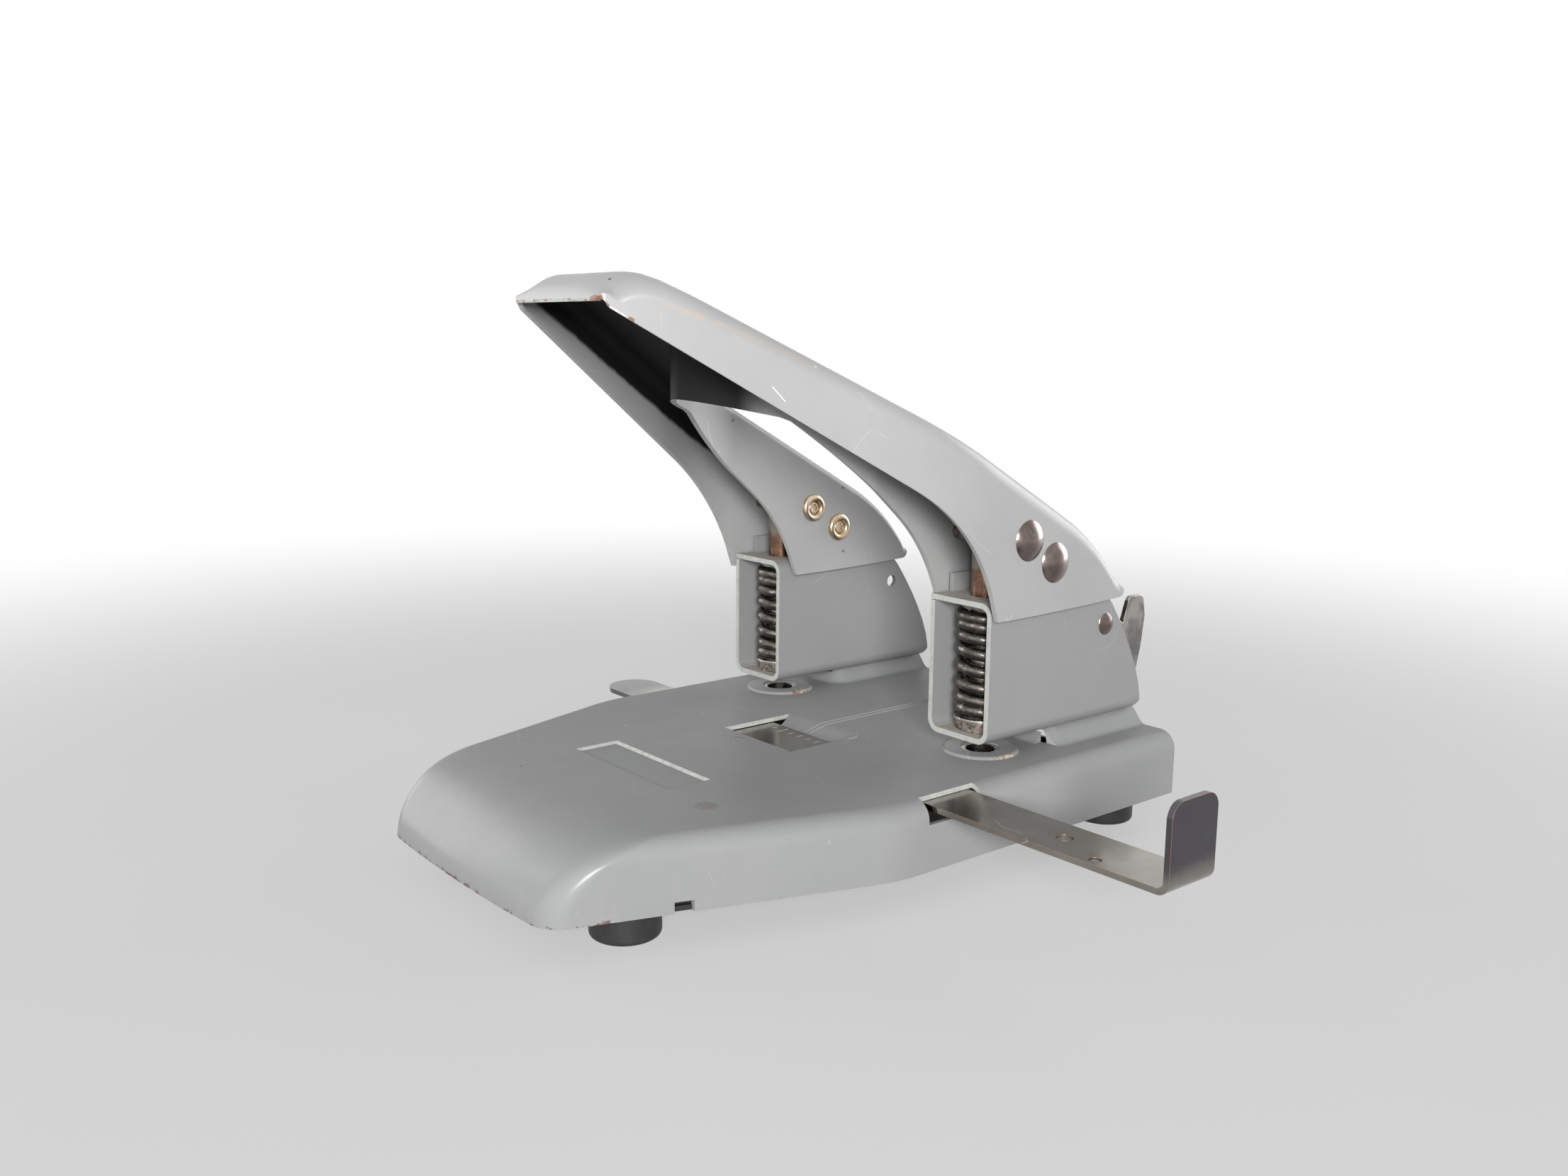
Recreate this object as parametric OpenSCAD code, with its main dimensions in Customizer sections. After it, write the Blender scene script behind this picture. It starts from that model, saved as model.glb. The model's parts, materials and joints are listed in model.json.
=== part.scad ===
// Two-hole desk punch. A pressed-steel base with a snap-in chip tray carries two folded
// punch frames, a wishbone lever, a sliding paper guide and a latch that props the lever.
// Millimetres, +X right, +Y back, +Z up, standing on z = 0.
// Pieces are laid out about the punch axes: x = 0 lies midway between them and y = 0 on them.
// to_origin() then moves every piece so that the origin is the middle of the footprint.

/* [Punching] */
// Distance between the two punch axes
hole_spacing = 69.85; // [66:0.05:76]
// Diameter of the punched hole
hole_d = 6.35; // [5.5:0.05:7]
// Height of the paper gap between base and frames
throat = 3.8; // [3.2:0.1:5]
// Travel of the punch pins
stroke = 6; // [5:0.1:7]
// Radial clearance of pins in their guides and of rivets in their pivots
run_gap = 0.05; // [0.02:0.01:0.1]
// Clearance between neighbouring pieces that don't touch
free_gap = 0.3; // [0.2:0.05:0.5]

/* [Base] */
// Width across the side walls
base_w = 107; // [104:0.5:120]
// Reach of the base in front of the punch axes
base_front = 108.6; // [104:0.1:120]
// Reach of the base behind the punch axes
base_rear = 45.5; // [43:0.5:50]
// Distance in front of the punch axes where the sides start to taper
taper_start = 42; // [36:0.5:50]
// Width of the front edge before its corners are rounded
nose_w = 64; // [56:0.5:74]
// Radius of the front corners
nose_corner = 7; // [4:0.5:10]
// Bow of the front edge
nose_bow = 1.2; // [0:0.1:3]
// Length of the front curve from the top down to the front edge
nose_run = 21; // [12:0.5:28]
// Height of the base from its rim to its top
base_h = 14.4; // [12:0.1:18]
// Sheet thickness of the base
base_t = 1; // [0.8:0.1:1.4]
// Outer radius of the bend between top and walls
base_bend = 4; // [2.5:0.1:6]
// Height of the rim above the desk
rim_z = 6.4; // [5:0.1:9]
// Width of the raised seats at their foot
seat_w = 19.4; // [18:0.1:22]
// Run-out of the slope around the raised seats
seat_slope = 1.2; // [0.5:0.1:2]
// Front end of the raised seats behind the punch axes
seat_front = 13.5; // [11:0.5:16]
// Width of the view window
window_w = 24; // [18:0.5:30]
// Length of the view window
window_l = 20; // [16:0.5:22]
// Middle of the view window in front of the punch axes
window_y = 24.6; // [22:0.1:28]
// Height of the raised centre line and border
emboss_h = 0.35; // [0.2:0.05:0.6]
// Width of the raised centre line and border
emboss_w = 0.9; // [0.6:0.1:1.5]
// Width of the raised border
border_w = 36; // [28:0.5:44]
// Length of the raised border
border_l = 11; // [8:0.5:16]
// Middle of the raised border in front of the punch axes
border_y = 65.3; // [60:0.1:72]

/* [Tray and feet] */
// Sheet thickness of the chip tray
tray_t = 1; // [0.8:0.1:1.5]
// Height of the tray's upturned edge
tray_edge = 5; // [3:0.5:6]
// Gap between the tray and the walls of the base
tray_gap = 0.5; // [0.3:0.1:1]
// Width of the lugs that snap into the rim
lug_w = 3; // [2:0.1:5]
// Place of the lugs in front of the punch axes
lug_y = 83; // [78:0.5:88]
// Diameter of a foot
foot_d = 13.7; // [11:0.1:15]
// Front feet: distance from the middle plane
foot_front_x = 28.5; // [24:0.5:30]
// Front feet: distance in front of the punch axes
foot_front_y = 88.4; // [84:0.2:92]
// Rear feet: distance from the middle plane
foot_rear_x = 42.4; // [36:0.2:44]
// Rear feet: distance behind the punch axes
foot_rear_y = 34.4; // [30:0.2:36]

/* [Guide bar] */
// Width of the bar
bar_w = 13; // [11:0.1:14]
// Thickness of the bar
bar_t = 1.2; // [1:0.1:1.5]
// Reach of the bar's upturned end to the right
bar_right = 106.5; // [96:0.5:115]
// Reach of the bar's flat end to the left
bar_left = 69; // [66:0.5:80]
// Middle of the bar in front of the punch axes
bar_y = 26.5; // [25:0.1:28]
// Height of the upturned end above the bar
bar_end_h = 15.2; // [10:0.1:20]
// Inner radius of the bend at the upturned end
bar_bend = 1.2; // [0.8:0.1:2]
// Length of each keeper strap
keeper_l = 10; // [6:0.5:14]
// Place of the keepers from the middle plane
keeper_x = 30; // [26:0.5:36]

/* [Frames] */
// Outer width of a frame
frame_w = 17.6; // [17:0.1:19]
// Height of a frame to the top of its top plate
frame_h = 30.6; // [28:0.1:34]
// Reach of a frame in front of its punch axis
frame_front = 7.6; // [7:0.1:9]
// Reach of a frame behind its punch axis
frame_rear = 44.7; // [43:0.1:45.4]
// Reach of the frame's walls at the top of the rear edge
frame_rear_top = 32.4; // [30:0.1:36]
// Sheet thickness of the frames
frame_t = 1.2; // [1:0.1:1.4]
// Outer radius of the frame's bends
frame_bend = 3; // [2:0.1:3.5]
// Reach of the top plate behind the punch axis
plate_rear = 4.6; // [4:0.1:5]
// Radius of the pivot ears
ear_r = 4.6; // [4:0.1:5]

/* [Punches] */
// Outer diameter of the return springs
spring_d = 12.2; // [11:0.1:13]
// Wire of the return springs
wire_d = 2; // [1.6:0.1:2.2]
// Turns of the return springs
spring_turns = 7; // [5:1:8]
// Outer diameter of the bush below the spring
bush_d = 11.4; // [10:0.1:12.4]
// Height of the bush above the frame's floor
bush_h = 2.2; // [1.5:0.1:3]
// Thickness of the spring washers
washer_t = 0.7; // [0.5:0.1:1]
// Thickness of the spring clips
clip_t = 1; // [0.8:0.1:1.2]
// Outer diameter of the die rings
die_d = 17; // [15:0.1:18]
// Length of the dies below the base top
die_l = 6; // [4:0.1:7]
// Height of the die rings above the base top
die_lip = 0.4; // [0.2:0.05:0.6]

/* [Lever] */
// Sheet thickness of the lever
lever_t = 1.2; // [1:0.1:1.4]
// Gap between the lever's flanges and the frames
lever_gap = 0.8; // [0.5:0.1:1.2]
// Pivot behind the punch axes
pivot_y = 9.7; // [9.4:0.1:10.4]
// Pivot above the frames' top plates
pivot_rise = 7.6; // [7:0.1:9]
// Drive rivet in front of the pivot
drive_reach = 8.45; // [8:0.05:9]
// Drive rivet above the pivot
drive_rise = 5.4; // [5:0.1:6]
// Radius of the lever's rivets
rivet_r = 2; // [1.8:0.05:2.2]
// Front edge of the lever in front of the punch axes
lever_front = 84.4; // [78:0.1:92]
// Rear end of the lever behind the punch axes
lever_rear = 34.4; // [32:0.1:36]
// Width of the lever at its front edge
grip_w = 31.6; // [26:0.2:40]
// Place in front of the punch axes where the arms become parallel
arm_start = 18.5; // [14:0.5:24]
// Height of the lever's top above the pivot
roof_rise = 11.4; // [10.5:0.1:13]
// Slope of the lever's top in degrees
lever_slope = 28.7; // [27:0.1:31]
// Radius of the lever's rounded front
lever_nose = 7; // [5:0.1:9]
// Outer radius of the bend between top and flanges
lever_bend = 5; // [3:0.1:6]
// Slope of the flanges' lower edge in degrees
edge_slope = 32.3; // [31:0.1:34]
// Overlap of the flanges over the frames
flange_lap = 3.4; // [2.5:0.1:5]
// Front of the gap between the arms, before the punch axes
split_front = 55; // [50:0.1:60]

/* [Latch] */
// Thickness of the latch
latch_t = 1.2; // [1:0.1:1.5]
// Pivot of the latch behind the punch axis
latch_y = 30.5; // [28:0.1:31]
// Pivot of the latch above the frame's underside
latch_z = 22; // [20:0.1:22.5]
// Reach of the latch behind its pivot
latch_reach = 16.2; // [15.6:0.1:18]
// Radius of the latch rivet
latch_rivet_r = 1.5; // [1.2:0.1:1.8]

/* [Hidden] */
$fn = 48;

// Finishes
enamel = "#a6a8a9";
nickel = "#b9b4a6";
dark_steel = "#4c4a48";
copper_steel = "#8a6a55";
brass = "#b79a6a";
rubber = "#1d1d1d";

// Seating and cutting allowances
seat_gap = 0.02;
cut = 1;

// Levels
axis_x = hole_spacing / 2;
top_z = rim_z + base_h;
frame_z = top_z + throat;
plate_z = frame_z + frame_h;
pivot_z = plate_z + pivot_rise;
drive_y = pivot_y - drive_reach;
drive_z = pivot_z + drive_rise;

// Footprint of the whole object
half_w = base_w / 2;
latch_rear = latch_y + latch_reach;
middle_x = (bar_right + bar_t - bar_left) / 2;
middle_y = (max(latch_rear, base_rear) - base_front) / 2;

// Punch stack, from the frame's floor up
pin_r = hole_d / 2;
bush_top = frame_z + frame_t + bush_h;
washer_top = bush_top + washer_t;
clip_top = plate_z - frame_t - free_gap;
clip_z = clip_top - clip_t;
groove_depth = 0.5;
pin_tip = frame_z + free_gap;
pin_top = drive_z - rivet_r - free_gap;
bush_shank_r = pin_r + 1.3;

// Lever
arm_half = frame_w / 2 + lever_gap + lever_t;
lever_half = axis_x + arm_half;
arm_blend = 9;
arm_taper = (lever_half - grip_w / 2) / (lever_front - arm_start);
split_half = axis_x - arm_half;
split_curve = 1.5;
nose_turn = 68;
nose_y = -lever_front + lever_nose * sin(nose_turn);
nose_z = roof(nose_y + lever_nose * sin(lever_slope)) - lever_nose * cos(lever_slope);
tail_r = 48.7;
tail_start = pivot_y + 6.3;
tail_y = tail_start - tail_r * sin(lever_slope);
tail_z = roof(tail_start) - tail_r * cos(lever_slope);
tail_turn = asin((lever_rear - tail_y) / tail_r);
lever_low = plate_z - flange_lap;
edge_start = nose_z + lever_nose * cos(nose_turn) - lever_t;
edge_knee = 28;
edge_end_slope = 76.7;
flange_corner = 1.6;

// Bar levels: it runs just under the base top
bar_top = top_z - base_t - free_gap / 2;
bar_under = bar_top - bar_t;

// Springs
spring_low = washer_top + wire_d / 2 + seat_gap;
spring_high = clip_z - wire_d / 2 - seat_gap;
spring_r = (spring_d - wire_d) / 2;
curl_rings = 8;
wire_sides = 6;

// Height of the lever's top at a place along Y
function roof(y) = pivot_z + roof_rise - tan(lever_slope) * (y - pivot_y);

// Half width of the lever at a place along Y: tapered in front, parallel behind, blended between
function lever_side(y) = let (d = y + arm_start)
  d > arm_blend ? lever_half : d < -arm_blend ? lever_half + arm_taper * d
  : lever_half - arm_taper * pow(d - arm_blend, 2) / (4 * arm_blend);

// Points of an edge that starts at p with slope a0 and steepens to a1 on a radius r
function edge_arc(p, a0, a1, r) =
  [for (i = [0:8]) let (a = a0 + (a1 - a0) * i / 8)
    [p[0] + r * (sin(a) - sin(a0)), p[1] - r * (cos(a0) - cos(a))]];

// Radius that takes an edge from height z at slope a0 down to the flanges' lower edge at slope a1
function edge_radius(z, a0, a1) = (z - lever_low) / (cos(a0) - cos(a1));

function mirrored(points) = [for (i = [len(points) - 1:-1:0]) [-points[i][0], points[i][1]]];

module to_origin() translate([-middle_x, -middle_y, 0]) children();

// Extrusions of an outline drawn in (y, z) or in (x, z)
module along_x(x, l) translate([x, 0, 0]) rotate([90, 0, 90]) linear_extrude(l) children();
module along_y(y, l) translate([0, y + l, 0]) rotate([90, 0, 0]) linear_extrude(l) children();

// A round bar along X
module rod_x(x, l, r, y, z) translate([x, y, z]) rotate([0, 90, 0]) cylinder(r = r, h = l);

// A plate with round corners, from its low corner
module soft_plate(w, l, r) {
  translate([r, 0]) square([w - 2 * r, l]);
  translate([0, r]) square([w, l - 2 * r]);
  for (x = [r, w - r], y = [r, l - r]) translate([x, y]) circle(r);
}

// A domed rivet head, flat side down
module dome(d, h) {
  ball = (d * d / 4 + h * h) / (2 * h);
  rotate_extrude() intersection() {
    translate([0, h - ball]) circle(ball);
    square([d / 2, h]);
  }
}

// Outline of the base at a level: walls moved in by side, front edge by front
module base_outline(side, front) {
  w = half_w - side;
  y = base_front - front;
  taper = (half_w - nose_w / 2) / (base_front - taper_start);
  nose = w - taper * (y - taper_start);
  long = base_rear + 4 * nose_corner;
  bow_steps = 4;
  right = concat([[w, long], [w, -taper_start]],
    [for (i = [bow_steps:-1:1]) let (k = i / bow_steps) [nose * k, -y + nose_bow * k * k]]);
  offset(nose_corner) offset(delta = -nose_corner)
    polygon(concat(right, [[0, -y]], mirrored(right)));
}

// The solid form of the base, moved in by o on every side
module base_form(o) {
  bend = base_bend - o;
  h = base_h - o;
  intersection() {
    hull() for (a = [0:10:90]) {
      up = h * sin(a);
      rise = max(0, up - (h - bend));
      side = o + bend - sqrt(bend * bend - rise * rise);
      translate([0, 0, rim_z + up - (a == 0 ? o : 0.01)])
        linear_extrude(0.01) base_outline(side, o + (nose_run - o) * (1 - cos(a)));
    }
    translate([-half_w, -base_front, 0]) cube([base_w, base_front + base_rear + o, top_z]);
  }
}

// Raised seat of a frame, moved in by o
module seat_form(side, o) {
  low = top_z - base_t - (o > 0 ? cut : 0);
  hull() {
    translate([side * axis_x - seat_w / 2 + o, seat_front + o, low])
      cube([seat_w - 2 * o, base_rear - seat_front, base_t]);
    translate([side * axis_x - seat_w / 2 + seat_slope + o, seat_front + seat_slope + o, frame_z - o - 0.1])
      cube([seat_w - 2 * seat_slope - 2 * o, base_rear - seat_front - seat_slope, 0.1]);
  }
}

frame_rivet_inset = 8.5;
frame_rivet_ys = [seat_front + frame_rivet_inset, base_rear - frame_rivet_inset];
frame_rivet_r = 2;

module base_pan() {
  die_body_r = die_d / 2 - 2;
  notch_play = 1.2;
  notch_l = bar_w + 2 * notch_play;
  notch_in = half_w - base_bend + notch_play / 2;
  lance_r = 1.8;
  lug_h = tray_t + 2 * free_gap;
  window_off = 0.5;
  color(enamel) to_origin() difference() {
    union() {
      difference() {
        base_form(0);
        base_form(base_t);
      }
      for (side = [-1, 1]) seat_form(side, 0);
      translate([-emboss_w / 2, -window_y + window_l / 2 + cut, top_z])
        cube([emboss_w, base_rear + window_y - window_l / 2 - 2 * cut, emboss_h]);
      translate([0, -border_y, top_z]) linear_extrude(emboss_h) difference() {
        square([border_w, border_l], center = true);
        square([border_w - 2 * emboss_w, border_l - 2 * emboss_w], center = true);
      }
    }
    for (side = [-1, 1]) {
      seat_form(side, base_t);
      translate([side * axis_x, 0, rim_z]) cylinder(r = die_body_r + seat_gap, h = base_h + cut);
      for (y = frame_rivet_ys)
        translate([side * axis_x, y, top_z]) cylinder(r = frame_rivet_r + seat_gap, h = throat + cut);
      translate([side * axis_x + seat_w / 4, seat_front + lance_r / 2, top_z - base_t - cut])
        cylinder(r = lance_r, h = throat);
      translate([side > 0 ? notch_in : -half_w - cut, -bar_y - notch_l / 2, bar_under - 2 * bar_t])
        cube([half_w - notch_in + cut, notch_l, base_h]);
      translate([side * half_w / 2 - half_w / 2, -lug_y - lug_w / 2 - free_gap, rim_z - cut])
        cube([half_w, lug_w + 2 * free_gap, cut + free_gap + lug_h]);
    }
    translate([-window_w / 2 - window_off, -window_y - window_l / 2, top_z - 2 * base_t])
      cube([window_w, window_l, 4 * base_t]);
  }
}

tray_low = rim_z + free_gap;
tray_rise = (free_gap + tray_edge) / (base_h - base_t);
tray_back = nose_run * (1 - sqrt(1 - tray_rise * tray_rise));

// Outline of the tray, moved in by o. Its front stays behind the curve of the nose
module tray_outline(o) offset(delta = -base_t - tray_gap - o) intersection() {
  base_outline(0, tray_back);
  translate([-half_w, -base_front]) square([base_w, base_front + base_rear]);
}

// Snap lugs that reach out into the notches of the rim
module tray_lugs() intersection() {
  for (side = [-1, 1])
    translate([side > 0 ? nose_w / 4 : -half_w, -lug_y - lug_w / 2, tray_low])
      cube([half_w - nose_w / 4, lug_w, tray_t]);
  translate([0, 0, tray_low]) linear_extrude(tray_t) offset(delta = -free_gap) base_outline(0, 0);
}

foot_places = [[-foot_front_x, -foot_front_y], [foot_front_x, -foot_front_y],
  [-foot_rear_x, foot_rear_y], [foot_rear_x, foot_rear_y]];
foot_rivet_r = 1.5;

module chip_tray() color(rubber) to_origin() difference() {
  union() {
    translate([0, 0, tray_low]) linear_extrude(tray_edge) tray_outline(0);
    tray_lugs();
  }
  translate([0, 0, tray_low + tray_t]) linear_extrude(tray_edge) tray_outline(tray_t);
  for (p = foot_places)
    translate([p[0], p[1], tray_low - cut]) cylinder(r = foot_rivet_r + seat_gap, h = tray_t + 2 * cut);
}

// A rubber foot with a rounded lower edge and a well for its rivet
module foot(i) {
  r = foot_d / 2;
  round_r = 1;
  well_r = 3.2;
  well_h = 2.6;
  color(rubber) to_origin() translate([foot_places[i][0], foot_places[i][1], 0]) rotate_extrude()
    difference() {
      union() {
        square([r - round_r, tray_low]);
        translate([0, round_r]) square([r, tray_low - round_r]);
        translate([r - round_r, round_r]) circle(round_r);
      }
      translate([-round_r, -cut]) square([well_r + round_r, well_h + cut]);
      translate([-round_r, -cut]) square([foot_rivet_r + seat_gap + round_r, tray_low + 2 * cut]);
    }
}

module foot_front_left() foot(0);
module foot_front_right() foot(1);
module foot_rear_left() foot(2);
module foot_rear_right() foot(3);

module foot_rivets() {
  head_r = 2.8;
  head_h = 1;
  head_z = 2.6;
  tray_top = tray_low + tray_t;
  color(nickel) to_origin() for (p = foot_places) translate([p[0], p[1], 0]) {
    translate([0, 0, head_z]) rotate([180, 0, 0]) dome(2 * head_r, head_h);
    translate([0, 0, head_z]) cylinder(r = foot_rivet_r, h = tray_top - head_z);
    translate([0, 0, tray_top]) dome(2 * head_r, head_h);
  }
}

// A die ring: a flange on the base top, a body below it and the cutting bore
module die(side) {
  notch_w = 2;
  color(enamel) to_origin() translate([side * axis_x, 0, top_z]) difference() {
    union() {
      cylinder(r = die_d / 2, h = die_lip);
      translate([0, 0, -die_l]) cylinder(r = die_d / 2 - 2, h = die_l + die_lip / 2);
    }
    translate([0, 0, -die_l - cut]) cylinder(r = pin_r + run_gap, h = die_l + die_lip + 2 * cut);
    for (x = [-1, 1]) translate([x * die_d / 2 - notch_w / 4, -notch_w / 2, 0])
      cube([notch_w / 2, notch_w, die_lip + cut]);
  }
}

module die_left() die(-1);
module die_right() die(1);

// The guide bar lies at x = -bar_left to bar_right and turns up at its right end
module guide_bar() {
  bend_x = bar_right - bar_bend;
  bend_z = bar_top + bar_bend;
  end_top = bar_top + bar_end_h;
  stop_r = 1.7;
  stop_in = 26;
  mark_r = 1.2;
  mark_in = 15.6;
  corner_r = 3;
  color(nickel) to_origin() translate([0, -bar_y, 0]) difference() {
    union() {
      translate([-bar_left + bar_w / 2, -bar_w / 2, bar_under])
        cube([bend_x + bar_left - bar_w / 2, bar_w, bar_t]);
      translate([-bar_left + bar_w / 2, 0, bar_under]) cylinder(r = bar_w / 2, h = bar_t);
      along_y(-bar_w / 2, bar_w) intersection() {
        translate([bend_x, bend_z]) difference() {
          circle(bar_bend + bar_t);
          circle(bar_bend);
        }
        translate([bend_x, bar_under]) square(bar_bend + bar_t);
      }
      along_x(bar_right, bar_t) union() {
        translate([-bar_w / 2, bend_z]) square([bar_w, (end_top - bend_z) / 2]);
        translate([-bar_w / 2, bend_z]) soft_plate(bar_w, end_top - bend_z, corner_r);
      }
    }
    translate([bar_right - stop_in, 0, bar_under - cut]) cylinder(r = stop_r, h = bar_t + 2 * cut);
    translate([bar_right - mark_in, -bar_w / 3, bar_under - cut])
      cylinder(r = mark_r, h = bar_t + 2 * cut);
  }
}

// A hat-shaped strap under the base top that the bar runs through
module bar_keeper(side) {
  slot = bar_w / 2 + free_gap;
  leg = slot + bar_t;
  wing = leg + 4;
  low = bar_under - free_gap / 2;
  roof_z = top_z - base_t;
  right = [[wing, roof_z], [wing, roof_z - bar_t], [leg, roof_z - bar_t], [leg, low - bar_t],
    [0, low - bar_t]];
  inner = [[0, low], [slot, low], [slot, roof_z]];
  half = concat(right, inner);
  color(dark_steel) to_origin() translate([0, -bar_y, 0])
    along_x(side * keeper_x - keeper_l / 2, keeper_l) union() {
      polygon(half);
      polygon(mirrored(half));
    }
}

module bar_keeper_left() bar_keeper(-1);
module bar_keeper_right() bar_keeper(1);

// Rear edge of a frame's wall, bowed from the floor up to the top
back_foot = 2;
back_drop = 4;
function frame_back() = [for (i = [0:6]) let (k = i / 6)
  [frame_rear + (frame_rear_top - frame_rear) * pow(k, 1.5),
    frame_z + back_foot + (frame_h - back_drop - back_foot) * k]];

// Outline of a frame's wall in (y, z). The wall rises above the top plate from ear_front on
module frame_wall(ear_front, ear_step) {
  back = frame_back();
  step_z = plate_z + ear_step;
  ear_rear = pivot_y + ear_r;
  polygon(concat(
    [[-frame_front, frame_z], [frame_rear - 0.8, frame_z]], back,
    [[frame_rear_top - back_drop / 2, plate_z - back_drop / 2], [ear_rear, plate_z - frame_t / 2],
      [ear_rear, pivot_z], [pivot_y - ear_r, pivot_z],
      [pivot_y - ear_r, step_z], [ear_front, step_z], [ear_front, plate_z - frame_t - free_gap / 2],
      [-frame_front, plate_z - frame_t - free_gap / 2]]));
  translate([pivot_y, pivot_z]) circle(ear_r);
}

// Cross-section in (x, z) of a frame's floor and walls, with bent lower corners
module frame_trough() {
  tall = frame_h + pivot_rise + 2 * ear_r;
  inner_r = frame_bend - frame_t;
  difference() {
    translate([-frame_w / 2, 0]) union() {
      soft_plate(frame_w, tall, frame_bend);
    }
    translate([-frame_w / 2 + frame_t, frame_t]) soft_plate(frame_w - 2 * frame_t, tall, inner_r);
  }
}

// A frame: floor and two walls, and a top plate bent over from the right wall
module frame_body() {
  ear_step = drive_rise + pivot_rise - stroke - rivet_r - 1;
  ear_front = -2;
  step_x = frame_w / 2 - frame_t - free_gap / 2;
  bend_x = frame_w / 2 - frame_bend;
  bend_z = frame_h - frame_bend;
  intersection() {
    translate([0, 0, frame_z]) along_y(-frame_front, frame_front + frame_rear) frame_trough();
    union() {
      along_x(-frame_w / 2, frame_w / 2 + bend_x) frame_wall(ear_front, ear_step);
      difference() {
        along_x(bend_x, frame_bend) frame_wall(ear_front, ear_step);
        translate([0, -frame_front - cut, frame_z + bend_z])
          cube([frame_w, frame_front + plate_rear + cut, frame_h]);
      }
    }
  }
  difference() {
    translate([0, 0, frame_z]) along_y(-frame_front, frame_front + plate_rear) union() {
      translate([-frame_w / 2, frame_h - frame_t]) square([frame_w / 2 + bend_x, frame_t]);
      intersection() {
        translate([bend_x, bend_z]) difference() {
          circle(frame_bend);
          circle(frame_bend - frame_t);
        }
        translate([bend_x, bend_z]) square(frame_bend);
      }
    }
    translate([-frame_w, ear_front - free_gap, plate_z - 2 * frame_t])
      cube([frame_w - step_x, frame_w, 4 * frame_t]);
  }
}

module frame(side) {
  color(enamel) to_origin() translate([side * axis_x, 0, 0]) difference() {
    frame_body();
    translate([0, 0, frame_z - cut]) cylinder(r = bush_shank_r + seat_gap, h = frame_t + 2 * cut);
    translate([0, 0, plate_z - 2 * frame_t]) cylinder(r = pin_r + run_gap, h = 4 * frame_t);
    for (y = frame_rivet_ys)
      translate([0, y, frame_z - cut]) cylinder(r = frame_rivet_r + seat_gap, h = frame_t + 2 * cut);
    rod_x(-frame_w, 2 * frame_w, rivet_r + run_gap, pivot_y, pivot_z);
    rod_x(0, frame_w, latch_rivet_r + seat_gap, latch_y, frame_z + latch_z);
  }
}

module frame_left() frame(-1);
module frame_right() frame(1);

// Two rivets that clamp a frame's floor on its raised seat
module frame_rivets(side) {
  head_r = 3.4;
  head_h = 1;
  color(nickel) to_origin() for (y = frame_rivet_ys) translate([side * axis_x, y, frame_z]) {
    translate([0, 0, frame_t]) dome(2 * head_r, head_h);
    translate([0, 0, -base_t]) cylinder(r = frame_rivet_r, h = base_t + frame_t);
    translate([0, 0, -base_t]) rotate([180, 0, 0]) dome(2 * head_r, head_h);
  }
}

module frame_rivets_left() frame_rivets(-1);
module frame_rivets_right() frame_rivets(1);

// Flanged bush that guides the lower end of a pin
module lower_bush(side) {
  color(copper_steel) to_origin() translate([side * axis_x, 0, frame_z]) difference() {
    union() {
      cylinder(r = bush_shank_r, h = frame_t);
      translate([0, 0, frame_t]) cylinder(r = bush_d / 2, h = bush_h);
    }
    translate([0, 0, -cut]) cylinder(r = pin_r + run_gap, h = frame_t + bush_h + 2 * cut);
  }
}

module lower_bush_left() lower_bush(-1);
module lower_bush_right() lower_bush(1);

module spring_washer(side) {
  color(nickel) to_origin() translate([side * axis_x, 0, bush_top]) difference() {
    cylinder(r = spring_d / 2, h = washer_t);
    translate([0, 0, -cut]) cylinder(r = pin_r + free_gap, h = washer_t + 2 * cut);
  }
}

module spring_washer_left() spring_washer(-1);
module spring_washer_right() spring_washer(1);

// Centre line of a spring: a left-handed helix with a straight level end of one wire diameter each way
coil_steps = spring_turns * curl_rings;
coil_turn = -360 / curl_rings;
function coil_point(i) = [spring_r * cos(i * coil_turn), spring_r * sin(i * coil_turn),
  spring_low + (spring_high - spring_low) * i / coil_steps];
function coil_tangent(i) = [sin(i * coil_turn), -cos(i * coil_turn), 0];
coil_line = concat([coil_point(0) - wire_d * coil_tangent(0)],
  [for (i = [0:coil_steps]) coil_point(i)],
  [coil_point(coil_steps) + wire_d * coil_tangent(coil_steps)]);
coil_angles = concat([0], [for (i = [0:coil_steps]) i * coil_turn], [coil_steps * coil_turn]);
coil_clear = curl_rings / 2 + 1;
coil_gap = min([for (i = [0:len(coil_line) - 1]) for (j = [i + coil_clear:1:len(coil_line) - 1])
  norm(coil_line[i] - coil_line[j])]) - wire_d;
echo("least gap of a return spring to itself, mm", coil_gap);

// The wire of a spring, swept along its centre line
module return_spring(side) {
  last = len(coil_line) - 1;
  points = [for (k = [0:last], s = [0:wire_sides - 1])
    let (a = coil_angles[k], b = 360 * s / wire_sides, out = wire_d / 2 * cos(b))
      coil_line[k] + [out * cos(a), out * sin(a), wire_d / 2 * sin(b)]];
  function at(k, s) = k * wire_sides + s % wire_sides;
  skin = [for (k = [0:last - 1], s = [0:wire_sides - 1], half = [0, 1])
    half == 0 ? [at(k, s), at(k + 1, s + 1), at(k + 1, s)] : [at(k, s), at(k, s + 1), at(k + 1, s + 1)]];
  ends = [for (s = [1:wire_sides - 2], far = [0, 1])
    far == 0 ? [at(0, 0), at(0, s + 1), at(0, s)] : [at(last, 0), at(last, s), at(last, s + 1)]];
  color(dark_steel) to_origin() translate([side * axis_x, 0, 0])
    polyhedron(points, concat(skin, ends));
}

module return_spring_left() return_spring(-1);
module return_spring_right() return_spring(1);

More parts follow.
